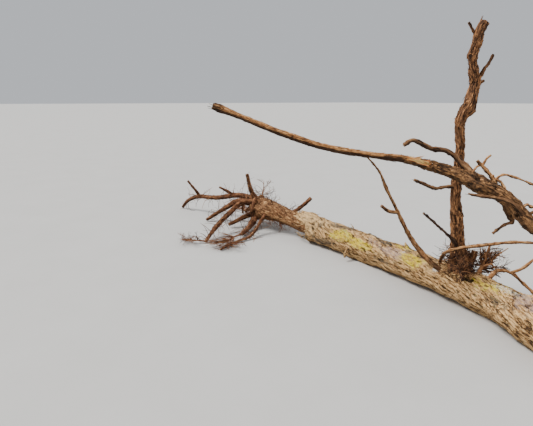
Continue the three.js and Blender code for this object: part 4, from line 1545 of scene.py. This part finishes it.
def carried_on(routes, mass, each, share, rng):
    """Finer twigs, so many on each route and that share of its length, inside the same space."""
    finer = []
    for rows in routes:
        array = np.array(rows, float)
        parent = np.linalg.norm(array[-1, :3] - array[0, :3])
        for _ in range(each):
            t = rng.uniform(0.15, 0.97)
            (before, here, after), (_, thick, _) = along_route(array, np.array([t - 0.01, t, t + 0.01]))
            turn = rng.uniform(-1, 1, 3) * (1, 1, mass["flat"])
            ahead = unit(unit(after - before) + turn)
            length = parent * share * rng.uniform(0.5, 1.3)
            draw = random_from(int(rng.integers(1, 2**31 - 2)))
            girth = max(thick * rng.uniform(0.45, 0.7), THINNEST)
            twig = wander(here, ahead, length, girth, FINE_TURN, mass["flat"], draw)
            if keeps_to_its_space(twig, mass["middle"], mass["half"]):
                finer.append(twig)
    return finer


# %% [markdown]
# Many twigs could be many objects, but a few thousand objects slow Blender down. All the twigs
# of a mass are one mesh, worked out as one array: twigs by rings by points round each ring. They
# are too thin to carry a pattern, so they have plain colours, dealt out twig by twig.

# %% Finishes of twigs and fine roots
ROOT_TONES = {
    "fine_root_dark": (72, 46, 33), "fine_root_red": (122, 76, 50), "fine_root_tan": (168, 120, 80),
}
TWIG_TONES = {
    "fork_twig_dark": (62, 44, 35), "fork_twig_brown": (112, 76, 52), "fork_twig_tan": (176, 126, 86),
}
TWIG_ROUGHNESS = 0.9


def plain_finishes(tones):
    """A plain finish for each name, in its colour."""
    return [Finish(name).finished(tone(*seen), TWIG_ROUGHNESS) for name, seen in tones.items()]


root_finishes = plain_finishes(ROOT_TONES)
twig_finishes = plain_finishes(TWIG_TONES)
print("plain finishes:", len(root_finishes) + len(twig_finishes))


# %% Twigs and rootlets
HAIR_RINGS, HAIR_SIDES, HAIR_STEPS = 8, 4, 4


def twig_bodies(rows, rings, sides):
    """Tapered round twigs as one array, all with the same number of rings and sides."""
    centre, radius = along_route(rows, np.linspace(0, 1, rings))
    tangent, across, side = frames(centre)
    wobble = 1 + 0.16 * noise(centre * 180, 3)
    a = np.linspace(-math.pi, math.pi, sides, endpoint=False)
    out = np.cos(a)[:, None] * across[:, :, None] + np.sin(a)[:, None] * side[:, :, None]
    points = centre[:, :, None] + (radius * wobble)[:, :, None, None] * out
    points[..., 2] = np.maximum(points[..., 2], 0.0)
    return closed_body(points)


def dealt(count, rings, sides, share, rng):
    """The number of a finish for every point, the same over a whole twig, dealt by shares."""
    each = rng.choice(3, size=count, p=share)
    body = np.repeat(each, rings * sides)
    return np.concatenate([body, each, each]).astype(np.int32)


def hairs(limb, rng, count, length, thickness, span=(0, 1), droop=0.0):
    """Routes of thin rootlets that set off from a limb's bark and wander, as rows in metres.

    Each sets off about square to the bark. At each step its heading turns at random and droops.
    """
    s = limb.length * rng.uniform(*span, count)
    a = rng.uniform(-math.pi, math.pi, count)
    start, out = (limb.point(s, a, np.full(count, height)) for height in (-0.001, 0.01))
    size = rng.uniform(0.25, 1, (count, 1))
    ahead = unit(unit(out - start) + 0.6 * rng.normal(size=(count, 3)))
    place, rows = start, []
    for step in range(HAIR_STEPS):
        rows.append(np.concatenate([place, thickness / 2 * size * (1 - 0.2 * step)], -1))
        ahead = unit(ahead + 0.45 * rng.normal(size=(count, 3)) - np.array([0, 0, droop]))
        place = place + ahead * length * size / (HAIR_STEPS - 1)
    rows = np.stack(rows, 1)
    rows[..., 2] = np.maximum(rows[..., 2], rows[..., 3])
    return rows


def hair_piece(name, groups, finishes, share, rng, node):
    """A piece of many thin rootlets in three plain finishes."""
    bodies = [twig_bodies(rows, HAIR_RINGS, HAIR_SIDES) for rows in groups]
    numbers = [dealt(len(rows), HAIR_RINGS, HAIR_SIDES, share, rng) for rows in groups]
    piece(name, bodies, finishes, node, np.concatenate(numbers))


# %% [markdown]
# Rootlets grow all over the crown and the roots. On the head side, thin dark ones stand round
# the foot of the upright arm. They could be Blender's hair, but the exported model needs meshes.

# %% Rootlets
ROOTLETS_A_METRE = 220
rng = np.random.default_rng(401)
crown_hairs = [
    hairs(rootstock, rng, 190, length=0.050, thickness=0.0026, span=(0, 0.62), droop=0.1),
    hairs(rootstock, rng, 150, length=0.024, thickness=0.0014, span=(0.3, 0.95), droop=0.1),
]
for root in main_roots:
    count = int(root.length * ROOTLETS_A_METRE)
    crown_hairs.append(
        hairs(root, rng, count, length=0.060, thickness=0.0026, span=(0.05, 0.98), droop=0.15)
    )
hair_piece("rootlets", crown_hairs, root_finishes, (0.3, 0.45, 0.25), rng, "rootstock")
arm_hairs = [hairs(upright, rng, 420, length=0.050, thickness=0.0020, span=(0.0, 0.13))]
hair_piece("arm_foot_rootlets", arm_hairs, twig_finishes, (0.55, 0.3, 0.15), rng, "upright_arm")

# %% [markdown]
# The masses themselves: the solids' own twigs first, round and fine, then two rounds of finer
# ones. The finer a twig is, the fewer rings and sides it gets, as there are so many.

# %% The masses
for name, mass in MASSES.items():
    rng = np.random.default_rng(mass["seed"])
    first = grown(mass)
    second = carried_on(first, mass, each=7, share=0.5, rng=rng)
    third = carried_on(second, mass, each=3, share=0.55, rng=rng)
    fork = name.startswith("fork")
    finishes, share = (twig_finishes, (0.45, 0.35, 0.2)) if fork else (root_finishes, (0.25, 0.45, 0.3))
    bodies, numbers = [], []
    for routes, rings, sides in ((first, 22, 8), (second, 10, 5), (third, 8, 4)):
        if routes:
            bodies.append(twig_bodies(metres(routes), rings, sides))
            numbers.append(dealt(len(routes), rings, sides, share, rng))
    piece(name + "_twigs", bodies, finishes, name, np.concatenate(numbers))
    print("%s: %d, %d and %d twigs" % (name, len(first), len(second), len(third)))

# %% [markdown]
# ## Floor and light
#
# A plain pale floor under a broad soft lamp, as under a cloudy sky. A square lamp would light
# only the floor near it. A sun lamp with a wide disc lights it all alike, with soft shadows.

# %% Floor
FLOOR_HALF = 60.0
floor_mesh = bpy.data.meshes.new("floor")
signs = [(-1, -1), (1, -1), (1, 1), (-1, 1)]
floor_mesh.from_pydata([(x * FLOOR_HALF, y * FLOOR_HALF, 0) for x, y in signs], [], [(0, 1, 2, 3)])
floor_finish = Finish("pale_floor")
speckle = floor_finish.noise(floor_finish.node("ShaderNodeTexCoord", out="Object"), 6.0)
floor_tone = floor_finish.mix(speckle, tone(206, 203, 197), tone(216, 213, 208))
floor_mesh.materials.append(floor_finish.finished(floor_tone, 0.85))
floor = bpy.data.objects.new("floor", floor_mesh)
bpy.context.scene.collection.objects.link(floor)
print("floor: %.0f m wide" % (2 * FLOOR_HALF))


# %% Light
def sun(name, direction, disc, strength):
    """A sun lamp shining along a direction, from a disc of so many degrees."""
    data = bpy.data.lights.new(name, "SUN")
    data.angle, data.energy = math.radians(disc), strength
    obj = bpy.data.objects.new(name, data)
    obj.rotation_euler = Vector(direction).to_track_quat("-Z", "Y").to_euler()
    bpy.context.scene.collection.objects.link(obj)


sun("broad_light", (0.42, 0.66, -1.0), 24, 3.5)
sun("edge_light", (-0.2, -0.9, -0.7), 70, 0.5)
world = bpy.data.worlds.new("pale_room")
world.use_nodes = True
background = world.node_tree.nodes["Background"]
background.inputs["Color"].default_value = tone(230, 234, 240)
background.inputs["Strength"].default_value = 0.72
bpy.context.scene.world = world
print("strength of the sky: %.2f" % background.inputs["Strength"].default_value)

# %% [markdown]
# ## Totals
#
# Last, the pieces and their triangles are counted. The pieces reach a little further than the
# solids, by their loose bark and finest rootlets.

# %% Totals
print("pieces: %d, triangles in all: %d" % (len(made), sum(made)))
